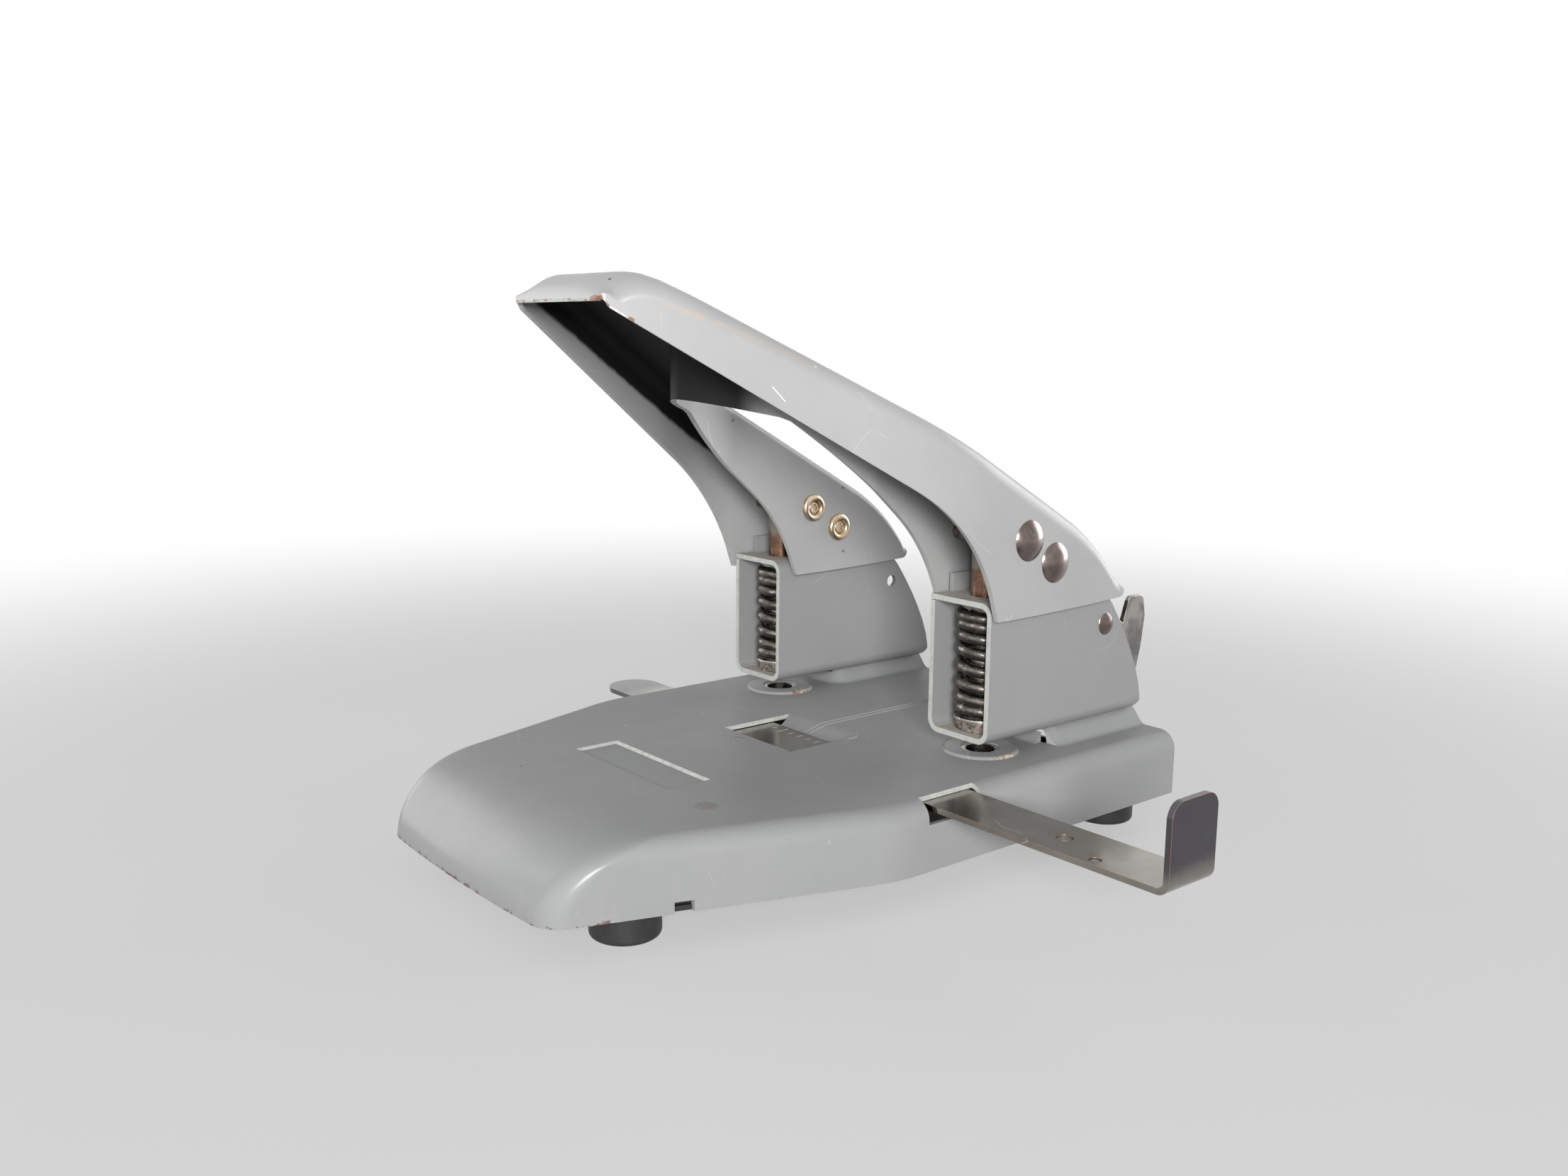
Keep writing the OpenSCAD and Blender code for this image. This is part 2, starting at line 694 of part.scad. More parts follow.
// A punch pin with a groove for its clip and a hollow-ground tip
module punch_pin(side) {
  grind_r = 3 * pin_r;
  color(copper_steel) to_origin() translate([side * axis_x, 0, 0]) difference() {
    translate([0, 0, pin_tip]) cylinder(r = pin_r, h = pin_top - pin_tip);
    translate([0, 0, clip_z]) difference() {
      cylinder(r = pin_r + cut, h = clip_t);
      translate([0, 0, -cut]) cylinder(r = pin_r - groove_depth, h = clip_t + 2 * cut);
    }
    translate([0, 0, pin_tip - grind_r + 0.4]) rotate([0, 90, 0])
      cylinder(r = grind_r, h = 4 * pin_r, center = true);
  }
}

module punch_pin_left() punch_pin(-1);
module punch_pin_right() punch_pin(1);

// An open clip in the groove of a pin, which the spring pushes against
module pin_clip(side) {
  mouth = 0.75 * hole_d;
  clip_d = spring_d - wire_d;
  color(dark_steel) to_origin() translate([side * axis_x, 0, clip_z + seat_gap]) difference() {
    cylinder(r = clip_d / 2, h = clip_t - 2 * seat_gap);
    translate([0, 0, -cut]) cylinder(r = pin_r - groove_depth + seat_gap, h = clip_t + 2 * cut);
    translate([-mouth / 2, 0, -cut]) cube([mouth, clip_d, clip_t + 2 * cut]);
  }
}

module pin_clip_left() pin_clip(-1);
module pin_clip_right() pin_clip(1);

// Side view of the lever's top, moved in by o: rounded front, straight top and curved tail
function lever_top(o) = concat(
  [for (i = [0:8]) let (a = nose_turn - (nose_turn + lever_slope) * i / 8)
    [nose_y - (lever_nose - o) * sin(a), nose_z + (lever_nose - o) * cos(a)]],
  [for (i = [-2:2]) let (y = -arm_start + arm_blend * i / 2) [y, roof(y) - o / cos(lever_slope)]],
  [for (i = [0:6]) let (a = lever_slope + (tail_turn - lever_slope) * i / 6)
    [tail_y + (tail_r - o) * sin(a), tail_z + (tail_r - o) * cos(a)]]);

// The lever's rounded block, moved in by o and open below
module lever_block(o) {
  bend_steps = 5;
  floor_z = lever_low - 10;
  bend = lever_bend - o;
  line = lever_top(o);
  last = len(line) - 1;
  function half(y) = lever_side(y) - o;
  function right(p) = concat([[half(p[0]), p[0], floor_z]],
    [for (i = [0:bend_steps]) let (a = 90 * i / bend_steps)
      [half(p[0]) - bend + bend * cos(a), p[0], p[1] - bend + bend * sin(a)]]);
  function ring(p) = concat(right(p),
    [for (i = [bend_steps + 1:-1:0]) let (q = right(p)[i]) [-q[0], q[1], q[2]]]);
  n = 2 * (bend_steps + 2);
  points = [for (p = line) each ring(p)];
  skin = [for (k = [0:last - 1], s = [0:n - 1], side = [0, 1])
    let (a = k * n + s, b = k * n + (s + 1) % n)
      side == 0 ? [a, b, b + n] : [a, b + n, a + n]];
  ends = [[for (s = [n - 1:-1:0]) s], [for (s = [0:n - 1]) last * n + s]];
  polyhedron(points, concat(skin, ends));
}

// What lies above the lower edge of the outer flanges, in (y, z)
module above_edge() {
  knee_z = edge_start - tan(edge_slope) * (lever_front - edge_knee);
  arc = edge_arc([-edge_knee, knee_z], edge_slope, edge_end_slope,
    edge_radius(knee_z, edge_slope, edge_end_slope));
  ahead = 20;
  offset(flange_corner) offset(delta = -flange_corner) polygon(concat(
    [[-lever_front - ahead, nose_z + 3 * ahead],
      [-lever_front - ahead, edge_start + tan(edge_slope) * ahead]], arc,
    [[lever_rear, lever_low + 1], [lever_rear, nose_z + 3 * ahead]]));
}

// What lies above the lower edge of the inner flanges, in (y, z)
module above_inner_edge() {
  slope = 40.8;
  end_slope = 75.4;
  knee_y = 17;
  knee_rise = 20.8;
  knee_z = lever_low + knee_rise;
  lip_y = 41;
  lip_z = knee_z + tan(slope) * (lip_y - knee_y);
  lip_slope = 14;
  ahead = 30;
  arc = edge_arc([-knee_y, knee_z], slope, end_slope, edge_radius(knee_z, slope, end_slope));
  offset(flange_corner) offset(delta = -flange_corner) polygon(concat(
    [[-lip_y - ahead, nose_z + 3 * ahead], [-lip_y - ahead, lip_z + tan(lip_slope) * ahead],
      [-lip_y, lip_z]], arc,
    [[lever_rear, lever_low + 1], [lever_rear, nose_z + 3 * ahead]]));
}

// Plan of the gap between the arms: parallel behind and a superellipse in front
module split_plan() {
  far = lever_rear + 20;
  run = split_front - arm_start - arm_blend / 2;
  half = concat([[split_half, far]], [for (i = [12:-1:1]) let (a = 90 * i / 12)
    [split_half * pow(sin(a), 2 / split_curve), -split_front + run * (1 - pow(cos(a), 2 / split_curve))]]);
  polygon(concat(half, [[0, -split_front]], mirrored(half)));
}

// The wishbone lever: a pressed skin with flanges outside and around the gap between its arms
module lever() {
  low = lever_low - 10;
  tall = nose_z + 2 * lever_nose - low;
  color(enamel) to_origin() difference() {
    intersection() {
      union() {
        difference() {
          lever_block(0);
          lever_block(lever_t);
        }
        intersection() {
          lever_block(lever_t / 2);
          translate([0, 0, low]) linear_extrude(tall) offset(lever_t) split_plan();
          along_x(-lever_half, 2 * lever_half) above_inner_edge();
        }
      }
      along_x(-lever_half, 2 * lever_half) above_edge();
    }
    translate([0, 0, low - cut]) linear_extrude(tall + 2 * cut) split_plan();
    rod_x(-2 * lever_half, 4 * lever_half, rivet_r + seat_gap, pivot_y, pivot_z);
    rod_x(-2 * lever_half, 4 * lever_half, rivet_r + seat_gap, drive_y, drive_z);
  }
}

// A rivet across one arm: domed head outside, rolled eyelet inside
module arm_rivet(side, y, z) {
  head_d = 8.5;
  head_h = 1.5;
  eyelet_r = 3.4;
  roll_r = 0.8;
  bore_r = 1.2;
  bore_l = 4;
  color(brass) to_origin() translate([side * axis_x, y, z]) rotate([0, side * 90, 0]) {
    translate([0, 0, arm_half]) dome(head_d, head_h);
    difference() {
      union() {
        translate([0, 0, -arm_half - roll_r]) cylinder(r = rivet_r, h = 2 * arm_half + roll_r);
        translate([0, 0, -arm_half]) rotate_extrude() intersection() {
          union() {
            translate([eyelet_r - roll_r, 0]) circle(roll_r);
            translate([0, -roll_r]) square([eyelet_r - roll_r, roll_r]);
          }
          translate([0, -2 * roll_r]) square([eyelet_r, 2 * roll_r]);
        }
      }
      translate([0, 0, -arm_half - roll_r - cut]) cylinder(r = bore_r, h = bore_l);
    }
  }
}

module pivot_rivet_left() arm_rivet(-1, pivot_y, pivot_z);
module pivot_rivet_right() arm_rivet(1, pivot_y, pivot_z);
module drive_rivet_left() arm_rivet(-1, drive_y, drive_z);
module drive_rivet_right() arm_rivet(1, drive_y, drive_z);

latch_x = axis_x + frame_w / 2 - frame_t - run_gap - latch_t;
latch_head_h = 1;

// The latch lies inside the right wall of the right frame, with its finger behind the frame
module lock_latch() {
  boss_r = 4.6;
  finger_w = 6.2;
  finger_top = 4.9;
  finger_in = 2;
  tail = 13.5;
  tail_w = 2.6;
  tip_r = 1.5;
  front = latch_reach - finger_w;
  color(dark_steel) to_origin() translate([0, latch_y, frame_z + latch_z]) difference() {
    along_x(latch_x, latch_t) union() {
      circle(boss_r);
      offset(tip_r) offset(delta = -tip_r) polygon([
        [0, boss_r], [front - finger_in, -finger_in / 2], [front, finger_top],
        [latch_reach - finger_in / 2, finger_top], [latch_reach, 0],
        [latch_reach - tail_w / 3, -tail / 2], [latch_reach - tail_w, -tail],
        [latch_reach - 2 * tail_w, -tail + tail_w / 3], [0, -boss_r]]);
    }
    rod_x(0, 2 * latch_x, latch_rivet_r + run_gap, 0, 0);
  }
}

// The rivet that the latch turns on, headed outside the frame and inside the latch
module latch_rivet() {
  head_d = 5.2;
  wall_x = axis_x + frame_w / 2;
  inner_x = latch_x - run_gap;
  color(nickel) to_origin() translate([0, latch_y, frame_z + latch_z]) rotate([0, 90, 0]) {
    translate([0, 0, inner_x]) cylinder(r = latch_rivet_r, h = wall_x - inner_x);
    translate([0, 0, wall_x]) dome(head_d, latch_head_h);
    translate([0, 0, inner_x]) rotate([180, 0, 0]) dome(head_d, latch_head_h);
  }
}

base_pan();
chip_tray();
foot_front_left();
foot_front_right();
foot_rear_left();
foot_rear_right();
foot_rivets();
die_left();
die_right();
guide_bar();
bar_keeper_left();
bar_keeper_right();
frame_left();
frame_right();
frame_rivets_left();
frame_rivets_right();
lower_bush_left();
lower_bush_right();
spring_washer_left();
spring_washer_right();
return_spring_left();
return_spring_right();
punch_pin_left();
punch_pin_right();
pin_clip_left();
pin_clip_right();
lever();
pivot_rivet_left();
pivot_rivet_right();
drive_rivet_left();
drive_rivet_right();
lock_latch();
latch_rivet();
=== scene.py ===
import json
import math

import bmesh
import bpy
from mathutils import Matrix, Vector


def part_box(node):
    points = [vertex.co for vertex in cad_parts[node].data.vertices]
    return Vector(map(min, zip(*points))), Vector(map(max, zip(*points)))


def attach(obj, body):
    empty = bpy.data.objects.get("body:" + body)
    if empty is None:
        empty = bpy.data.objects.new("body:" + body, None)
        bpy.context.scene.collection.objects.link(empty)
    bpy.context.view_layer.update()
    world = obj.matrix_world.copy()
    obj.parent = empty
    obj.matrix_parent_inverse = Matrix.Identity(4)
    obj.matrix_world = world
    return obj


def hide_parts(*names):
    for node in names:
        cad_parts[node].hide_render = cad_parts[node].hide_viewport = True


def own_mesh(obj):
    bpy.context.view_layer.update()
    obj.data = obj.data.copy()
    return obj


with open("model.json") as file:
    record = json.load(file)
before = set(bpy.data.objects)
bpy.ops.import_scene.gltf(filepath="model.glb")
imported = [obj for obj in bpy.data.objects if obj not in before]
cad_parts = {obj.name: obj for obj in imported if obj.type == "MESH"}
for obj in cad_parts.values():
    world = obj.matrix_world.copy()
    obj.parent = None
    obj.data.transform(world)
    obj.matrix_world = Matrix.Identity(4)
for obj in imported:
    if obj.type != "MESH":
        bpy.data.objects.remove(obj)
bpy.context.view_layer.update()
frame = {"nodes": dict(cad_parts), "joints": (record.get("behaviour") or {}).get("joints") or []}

bl_info = {
    "name": "Two-hole desk punch",
    "version": (1, 0, 0),
    "blender": (4, 5, 0),
    "location": "View3D > Sidebar > Desk punch",
    "description": "Builds the sheet-metal skins, springs, rivets and finishes of a two-hole desk punch",
    "category": "Object",
}

# Shapes are drawn in millimetres about the punch axes: x = 0 midway between them, y = 0 on them
MM = 0.001


def middle(node):
    low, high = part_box(node)
    return (low + high) / 2


PIN_LEFT = middle("punch_pin_left")
PIN_RIGHT = middle("punch_pin_right")
ORIGIN = Vector(((PIN_LEFT.x + PIN_RIGHT.x) / 2, PIN_LEFT.y, 0))
TO_ROW = Matrix.Translation(ORIGIN) @ Matrix.Scale(MM, 4)
TO_PUNCH = TO_ROW.inverted()


def span(node):
    """Lowest and highest corner of a CAD node, in millimetres about the punch axes."""
    low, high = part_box(node)
    return TO_PUNCH @ low, TO_PUNCH @ high


def joint(name):
    return next(j for j in frame["joints"] if j["name"] == name)


# Levels and places that the frame gives
AXIS_X = (PIN_RIGHT.x - PIN_LEFT.x) / 2 / MM
BASE_LOW, BASE_HIGH = span("base_pan")
RIM_Z = BASE_LOW.z
SEAT_Z = BASE_HIGH.z
HALF_W = BASE_HIGH.x
BASE_FRONT = -BASE_LOW.y
BASE_REAR = BASE_HIGH.y
DIE_LOW, DIE_HIGH = span("die_right")
DIE_R = (DIE_HIGH.x - DIE_LOW.x) / 2
BAR_LOW, BAR_HIGH = span("guide_bar")
BAR_Y = (BAR_LOW.y + BAR_HIGH.y) / 2
BAR_W = BAR_HIGH.y - BAR_LOW.y
LEVER_LOW, LEVER_HIGH = span("lever")
LEVER_HALF = LEVER_HIGH.x
ARM_W = 2 * (LEVER_HALF - AXIS_X)
SPLIT_HALF = LEVER_HALF - ARM_W
SPRING_LOW, SPRING_HIGH = span("return_spring_right")
PIVOT = TO_PUNCH @ Vector(joint("lever_hinge")["pos_m"])
HINGE_RIVET = middle("pivot_rivet_right")
DRIVE_RIVET = middle("drive_rivet_right")


def size(name, description, millimetres):
    return bpy.props.FloatProperty(name=name, description=description, default=millimetres * MM,
                                   unit="LENGTH", precision=5)


def turn(name, description, degrees):
    return bpy.props.FloatProperty(name=name, description=description,
                                   default=math.radians(degrees), subtype="ANGLE")


def count(name, description, default):
    return bpy.props.IntProperty(name=name, description=description, default=default, min=1)


def tint(name, description, red, green, blue):
    return bpy.props.FloatVectorProperty(name=name, description=description, size=3, min=0, max=1,
                                         default=(red, green, blue), subtype="COLOR")


class BaseSizes(bpy.types.PropertyGroup):
    """Sizes of the pressed base"""
    sheet: size("Sheet", "Sheet thickness of the base", 1)
    lip: size("Die lip", "Height of the die rings above the base top", 0.4)
    die_flange: size("Die flange", "Width of the die rings' flange outside their body", 2)
    die_bore: size("Die bore", "Radius of the die rings' bore", 3.25)
    bend: size("Bend", "Outer radius of the bend between top and walls", 4)
    taper_start: size("Taper start", "Where the sides start to taper, before the punch axes", 42)
    nose_width: size("Nose width", "Width of the front edge before its corners are rounded", 64)
    nose_corner: size("Nose corner", "Radius of the front corners", 7)
    nose_bow: size("Nose bow", "Bow of the front edge", 1.2)
    nose_run: size("Nose run", "Length of the front curve from the top to the front edge", 21)
    seat_outer: size("Seat outside", "Foot of the raised seats outside the punch axes", 10.1)
    seat_inner: size("Seat inside", "Foot of the raised seats inside the punch axes", 8.2)
    seat_front: size("Seat front", "Front foot of the raised seats behind the punch axes", 12.2)
    seat_slope: size("Seat slope", "Run-out of the slope around the raised seats", 4.6)
    seat_corner: size("Seat corner", "Radius of the seats' front corners at their foot", 5.6)
    seat_mouth: size("Seat mouth", "Where the seats' outer front corner is cut open", 15.2)
    window_left: size("Window left", "Left side of the view window from the middle", -12.9)
    window_width: size("Window width", "Width of the view window", 24)
    window_length: size("Window length", "Length of the view window", 19.2)
    window_middle: size("Window middle", "Middle of the view window before the punch axes", 24.7)
    dish_length: size("Dish length", "Length of the dished sheet behind the window", 6.2)
    dish_depth: size("Dish depth", "Depth of the dished sheet at the window's rear edge", 1.15)
    bead_place: size("Bead place", "Middle of the pair of raised lines behind the window", -1.3)
    bead_gap: size("Bead gap", "Distance between the two raised lines", 1.6)
    bead_width: size("Bead width", "Width of the raised lines", 0.55)
    bead_height: size("Bead height", "Height of the raised lines", 0.2)
    panel_left: size("Panel left", "Left side of the bare sunk panel from the middle", -19.2)
    panel_width: size("Panel width", "Width of the bare sunk panel", 35.2)
    panel_length: size("Panel length", "Length of the bare sunk panel", 10.5)
    panel_rear: size("Panel rear", "Rear side of the panel before the punch axes", 59.6)
    panel_depth: size("Panel depth", "Depth of the sunk panel", 0.55)
    panel_wall: size("Panel wall", "Run of the panel's sloped walls", 0.6)
    tongue_gap: size("Tongue gap", "Gap between the guide bar and the tongue behind it", 0.45)
    tongue_slant: size("Tongue slant", "How far the tongue's free side slants in", 2.6)
    mouth_inner: size("Mouth inside", "Inner side of the seats' cut corner outside the punch axes", 4.6)
    notch_gap: size("Notch gap", "Gap on each side of the guide bar in the notches of the walls", 1.2)
    lug_place: size("Lug place", "Place of the tray's lugs before the punch axes", 83)
    lug_notch: size("Lug notch", "Width of the notch that a lug sits in", 3.6)
    lug_height: size("Lug height", "Height of the notch that a lug sits in", 2.2)


class LeverSizes(bpy.types.PropertyGroup):
    """Sizes of the wishbone lever"""
    sheet: size("Sheet", "Sheet thickness of the lever", 1.2)
    slope: turn("Slope", "Slope of the lever's top", 28.7)
    roof_rise: size("Roof rise", "Height of the lever's top above its pivot", 12.6)
    bend: size("Bend", "Outer radius of the bend between top and outer flanges", 5)
    arch: size("Arch", "Width of that bend at the front, where the top is arched", 9)
    arch_length: size("Arch length", "Length over which the arch narrows to the plain bend", 15)
    inner_bend: size("Inner bend", "Radius of the bend around the gap between the arms", 2)
    nose: size("Nose", "Radius of the rounded front", 8.75)
    nose_turn: turn("Nose turn", "How far the rounded front turns down", 66)
    corner: size("Corner", "Radius of the front corners in plan", 2.2)
    corner_rise: size("Corner rise", "Length over which the side bend grows at the front corners", 4)
    edge: size("Edge", "Least height of the turned-down edge", 0.4)
    edge_drop: size("Edge drop", "Start of the outer flanges' edge below the front edge", 0.45)
    grip_width: size("Grip width", "Width at the front edge", 31.6)
    arm_start: size("Arm start", "Where the arms become parallel, before the punch axes", 18.5)
    arm_blend: size("Arm blend", "Half length of the blend from taper to parallel", 9)
    split_front: size("Split front", "Front of the gap between the arms, before the punch axes", 55)
    edge_slope: turn("Edge slope", "Slope of the outer flanges' lower edge", 32.3)
    edge_knee: size("Edge knee", "Where the outer lower edge starts to steepen", 28)
    inner_knee: size("Inner knee", "Where the inner lower edge starts to steepen", 17)
    edge_end: turn("Edge end", "Slope of the outer lower edge where it meets the flanges' foot", 76.7)
    inner_lip: size("Inner lip", "Where the inner lower edge flattens towards the front", 41)
    inner_slope: turn("Inner slope", "Slope of the inner lower edge", 40.8)
    inner_end: turn("Inner end", "Slope of the inner lower edge where it meets the flanges' foot", 75.4)
    inner_rise: size("Inner rise", "Height of the inner knee above the flanges' foot", 20.8)
    lip_slope: turn("Lip slope", "Slope of the flattened inner lower edge", 14)
    tail_radius: size("Tail radius", "Radius of the curved tail", 48.7)
    tail_start: size("Tail start", "Start of the curved tail behind the pivot", 6.3)
    tip: size("Tail tip", "Radius of the rounded tip of the tail", 1.7)
    foot_rise: size("Foot rise", "Rise of the flanges' foot towards the tip of the tail", 0.95)
    foot_start: size("Foot start", "Where the flanges' foot starts to rise, before the punch axes", 8)


class FittingSizes(bpy.types.PropertyGroup):
    """Sizes of the springs, rivets and marks"""
    wire: size("Wire", "Wire of the return springs", 2.7)
    coil_radius: size("Coil radius", "Mean radius of the return springs", 4.8)
    turns: bpy.props.FloatProperty(name="Turns", description="Turns of the return springs", default=7.5)
    shelf: size("Shelf", "Height of the frames' upper shelf above their seats", 30.6)
    rivet_head: size("Rivet head", "Diameter of the domed rivet heads", 8.8)
    rivet_dome: size("Rivet dome", "Height of the domed rivet heads", 1.7)
    eyelet: size("Eyelet", "Diameter of the rolled eyelets", 6.8)
    eyelet_roll: size("Eyelet roll", "Height of the rolled eyelets", 0.85)
    tick_pitch: size("Tick pitch", "Distance between the marks on the guide bar", 3)
    ticks: count("Ticks", "Number of marks on the guide bar", 25)
    tick_width: size("Tick width", "Width of a mark", 0.22)
    tick_length: size("Tick length", "Length of a mark, before each fifth one is stretched", 2.6)
    tick_place: size("Tick place", "Middle of the marks from the guide bar's rear edge", 2.6)
    bar_sheet: size("Bar sheet", "Thickness of the guide bar", 1.2)


class Colours(bpy.types.PropertyGroup):
    """Colours of the finishes"""
    enamel: tint("Enamel", "Satin grey stove enamel", 0.385, 0.388, 0.384)
    enamel_dark: tint("Enamel clouding", "Darker clouding of the enamel", 0.335, 0.340, 0.340)
    # Painted shade, partly duller paint: this tint darkens the base top and the dies.
    enamel_shade: tint("Enamel in shade", "Duller enamel of the base top and the dies", 0.17, 0.172, 0.178)
    sheet_edge: tint("Sheet edge", "Thin enamel on the cut sheet edges", 0.40, 0.42, 0.39)
    primer: tint("Primer", "Bare steel and primer in chips", 0.46, 0.43, 0.37)
    rust: tint("Rust", "Rust in chips and along edges", 0.26, 0.085, 0.03)
    dust: tint("Dust", "Paper dust on the frames", 0.46, 0.36, 0.27)
    nickel: tint("Nickel", "Dull nickel plating", 0.34, 0.325, 0.295)
    patina: tint("Patina", "Brown patina on nickel", 0.13, 0.095, 0.07)
    copper: tint("Copper", "Copper showing through worn plating", 0.74, 0.32, 0.14)
    spring_steel: tint("Spring steel", "Dark oiled spring steel", 0.135, 0.125, 0.115)
    brass: tint("Brass", "Brass of the eyelets", 0.64, 0.52, 0.37)
    rubber: tint("Rubber", "Rubber of the feet", 0.016, 0.016, 0.016)
    tray: tint("Tray", "Black plastic of the chip tray", 0.022, 0.022, 0.024)
    floor: tint("Floor", "Floor of the stage", 0.42, 0.42, 0.418)


def settings(kind):
    return getattr(bpy.context.scene, "desk_punch_" + kind)


def sizes(kind):
    """The sizes of a group, in millimetres, and its angles, in radians, by name."""
    group = settings(kind)
    values = {}
    for prop in group.bl_rna.properties:
        if prop.identifier in ("rna_type", "name"):
            continue
        value = getattr(group, prop.identifier)
        values[prop.identifier] = value / MM if prop.unit == "LENGTH" else value
    return values


# Node trees

class Value:
    """One output of a node. Python's operators on it add Math nodes."""

    def __init__(self, tree, socket):
        self.tree = tree
        self.socket = socket

    def math(self, operation, first, second=0.0):
        return self.tree.node("ShaderNodeMath", {"operation": operation}, {0: first, 1: second})

    def __add__(self, other):
        return self.math("ADD", self, other)

    def __radd__(self, other):
        return self.math("ADD", other, self)

    def __sub__(self, other):
        return self.math("SUBTRACT", self, other)

    def __rsub__(self, other):
        return self.math("SUBTRACT", other, self)

    def __mul__(self, other):
        return self.math("MULTIPLY", self, other)

    def __rmul__(self, other):
        return self.math("MULTIPLY", other, self)

    def __truediv__(self, other):
        return self.math("DIVIDE", self, other)

    def __abs__(self):
        return self.math("ABSOLUTE", self)

    def most(self, other):
        return self.math("MAXIMUM", self, other)


def find_socket(sockets, key):
    if isinstance(key, int):
        return sockets[key]
    for socket in sockets:
        if socket.identifier == key:
            return socket
    return sockets[key]


class Tree:
    """A node tree with one way to add a node."""

    def __init__(self, tree):
        self.tree = tree

    def node(self, kind, choices=None, inputs=None, output=0):
        made = self.tree.nodes.new(kind)
        for key, value in (choices or {}).items():
            if key == "stops":
                set_stops(made, value)
            else:
                setattr(made, key, value)
        for key, value in (inputs or {}).items():
            socket = find_socket(made.inputs, key)
            if isinstance(value, Value):
                self.tree.links.new(value.socket, socket)
            else:
                socket.default_value = value
        return Value(self, find_socket(made.outputs, output))


def set_stops(node, stops):
    """Stops of a colour ramp, or points of a float curve."""
    if node.bl_idname == "ShaderNodeFloatCurve":
        points = node.mapping.curves[0].points
        points[0].location = stops[0]
        points[1].location = stops[-1]
        for stop in stops[1:-1]:
            points.new(*stop)
        node.mapping.update()
        return
    elements = node.color_ramp.elements
    for index, (place, colour) in enumerate(stops):
        element = elements[index] if index < 2 else elements.new(place)
        element.position = place
        element.color = (*colour, 1)


class Finish(Tree):
    """A material with a Principled shader. Sizes are in millimetres of the object."""

    def __init__(self, name):
        self.material = bpy.data.materials.new(name)
        self.material.use_nodes = True
        super().__init__(self.material.node_tree)
        self.shader = next(n for n in self.tree.nodes if n.type == "BSDF_PRINCIPLED")
        self.place = self.node("ShaderNodeTexCoord", output="Object")

    def mapped(self, stretch=(1, 1, 1), shift=(0, 0, 0), turned=(0, 0, 0)):
        return self.node("ShaderNodeMapping", {"vector_type": "POINT"},
                         {"Vector": self.place, "Scale": stretch, "Location": shift,
                          "Rotation": turned})

    def noise(self, grain, detail=3, roughness=0.55, where=None, distortion=0.0):
        """Noise whose lumps are about grain millimetres across."""
        return self.node("ShaderNodeTexNoise", {"noise_dimensions": "3D"},
                         {"Vector": where or self.place, "Scale": 1 / (grain * MM), "Detail": detail,
                          "Roughness": roughness, "Distortion": distortion}, "Fac")

    def cells(self, grain, where=None, output="Distance"):
        return self.node("ShaderNodeTexVoronoi", {"feature": "F1"},
                         {"Vector": where or self.place, "Scale": 1 / (grain * MM)}, output)

    def ramp(self, value, low, high):
        """0 below low and 1 above high, eased between. Low may be the greater one."""
        return self.node("ShaderNodeMapRange", {"interpolation_type": "SMOOTHSTEP"},
                         {"Value": value, "From Min": low, "From Max": high})

    def mix(self, first, second, factor):
        """Two colours mixed. Each is a Value or a colour of three numbers."""
        def shown(colour):
            return colour if isinstance(colour, Value) else (*colour, 1)
        return self.node("ShaderNodeMix", {"data_type": "RGBA"},
                         {"Factor_Float": factor, "A_Color": shown(first), "B_Color": shown(second)},
                         "Result_Color")

    def scratches(self, grain, width, cover, shift):
        """Thin lines along the level lines of a slow noise, kept in patches."""
        where = self.mapped(shift=shift)
        line = abs(self.noise(grain, 1, 0.4, where) - 0.5)
        kept = self.noise(grain * 0.45, 1, 0.5, self.mapped(shift=shift[::-1]))
        return self.ramp(line, width, width * 0.3) * self.ramp(kept, cover, cover + 0.04)

    def specks(self, grain, share, radius, shift=(0, 0, 0)):
        """Round specks in a share of cells that are grain millimetres across."""
        where = self.mapped(shift=shift)
        near = self.ramp(self.cells(grain, where), radius, radius * 0.6)
        colour = self.cells(grain, where, "Color")
        pick = self.node("ShaderNodeSeparateColor", None, {"Color": colour}, "Red")
        return near * self.ramp(pick, share, share * 0.9)

    def vector(self, operation, first, second, output="Vector"):
        return self.node("ShaderNodeVectorMath", {"operation": operation}, {0: first, 1: second}, output)

    def ragged_reach(self, reach, ragged, grain):
        """A reach in millimetres that wanders by the share ragged."""
        return (self.noise(grain, 4, 0.65) * (2 * ragged) + (1 - ragged)) * (reach * MM)

    def patch(self, centre, radius, ragged=0.5, grain=2.0):
        """A ragged patch about a point given in millimetres about the punch axes."""
        away = self.vector("DISTANCE", self.place, tuple(TO_ROW @ Vector(centre)), "Value")
        return self.ramp(away / self.ragged_reach(radius, ragged, grain), 1.0, 0.75)

    def stroke(self, start, end, width, ragged=0.4, grain=0.8):
        """A ragged line of that width between two points given in millimetres about the punch axes."""
        first = TO_ROW @ Vector(start)
        way = TO_ROW @ Vector(end) - first
        offset = self.vector("SUBTRACT", self.place, tuple(first))
        along = self.vector("DOT_PRODUCT", offset, tuple(way / way.length_squared), "Value")
        share = self.node("ShaderNodeClamp", None, {"Value": along})
        foot = self.node("ShaderNodeVectorMath", {"operation": "SCALE"},
                         {0: tuple(way), "Scale": share}, "Vector")
        away = self.vector("DISTANCE", offset, foot, "Value")
        return self.ramp(away / self.ragged_reach(width / 2, ragged, grain), 1.0, 0.7)

    def axis(self, name):
        """One coordinate of the place."""
        return self.node("ShaderNodeSeparateXYZ", None, {"Vector": self.place}, name)

    def bump(self, height, depth, under=None):
        """A bump of that depth in millimetres, on top of another one."""
        inputs = {"Height": height, "Distance": depth * MM, "Strength": 1.0}
        if under:
            inputs["Normal"] = under
        return self.node("ShaderNodeBump", None, inputs, "Normal")

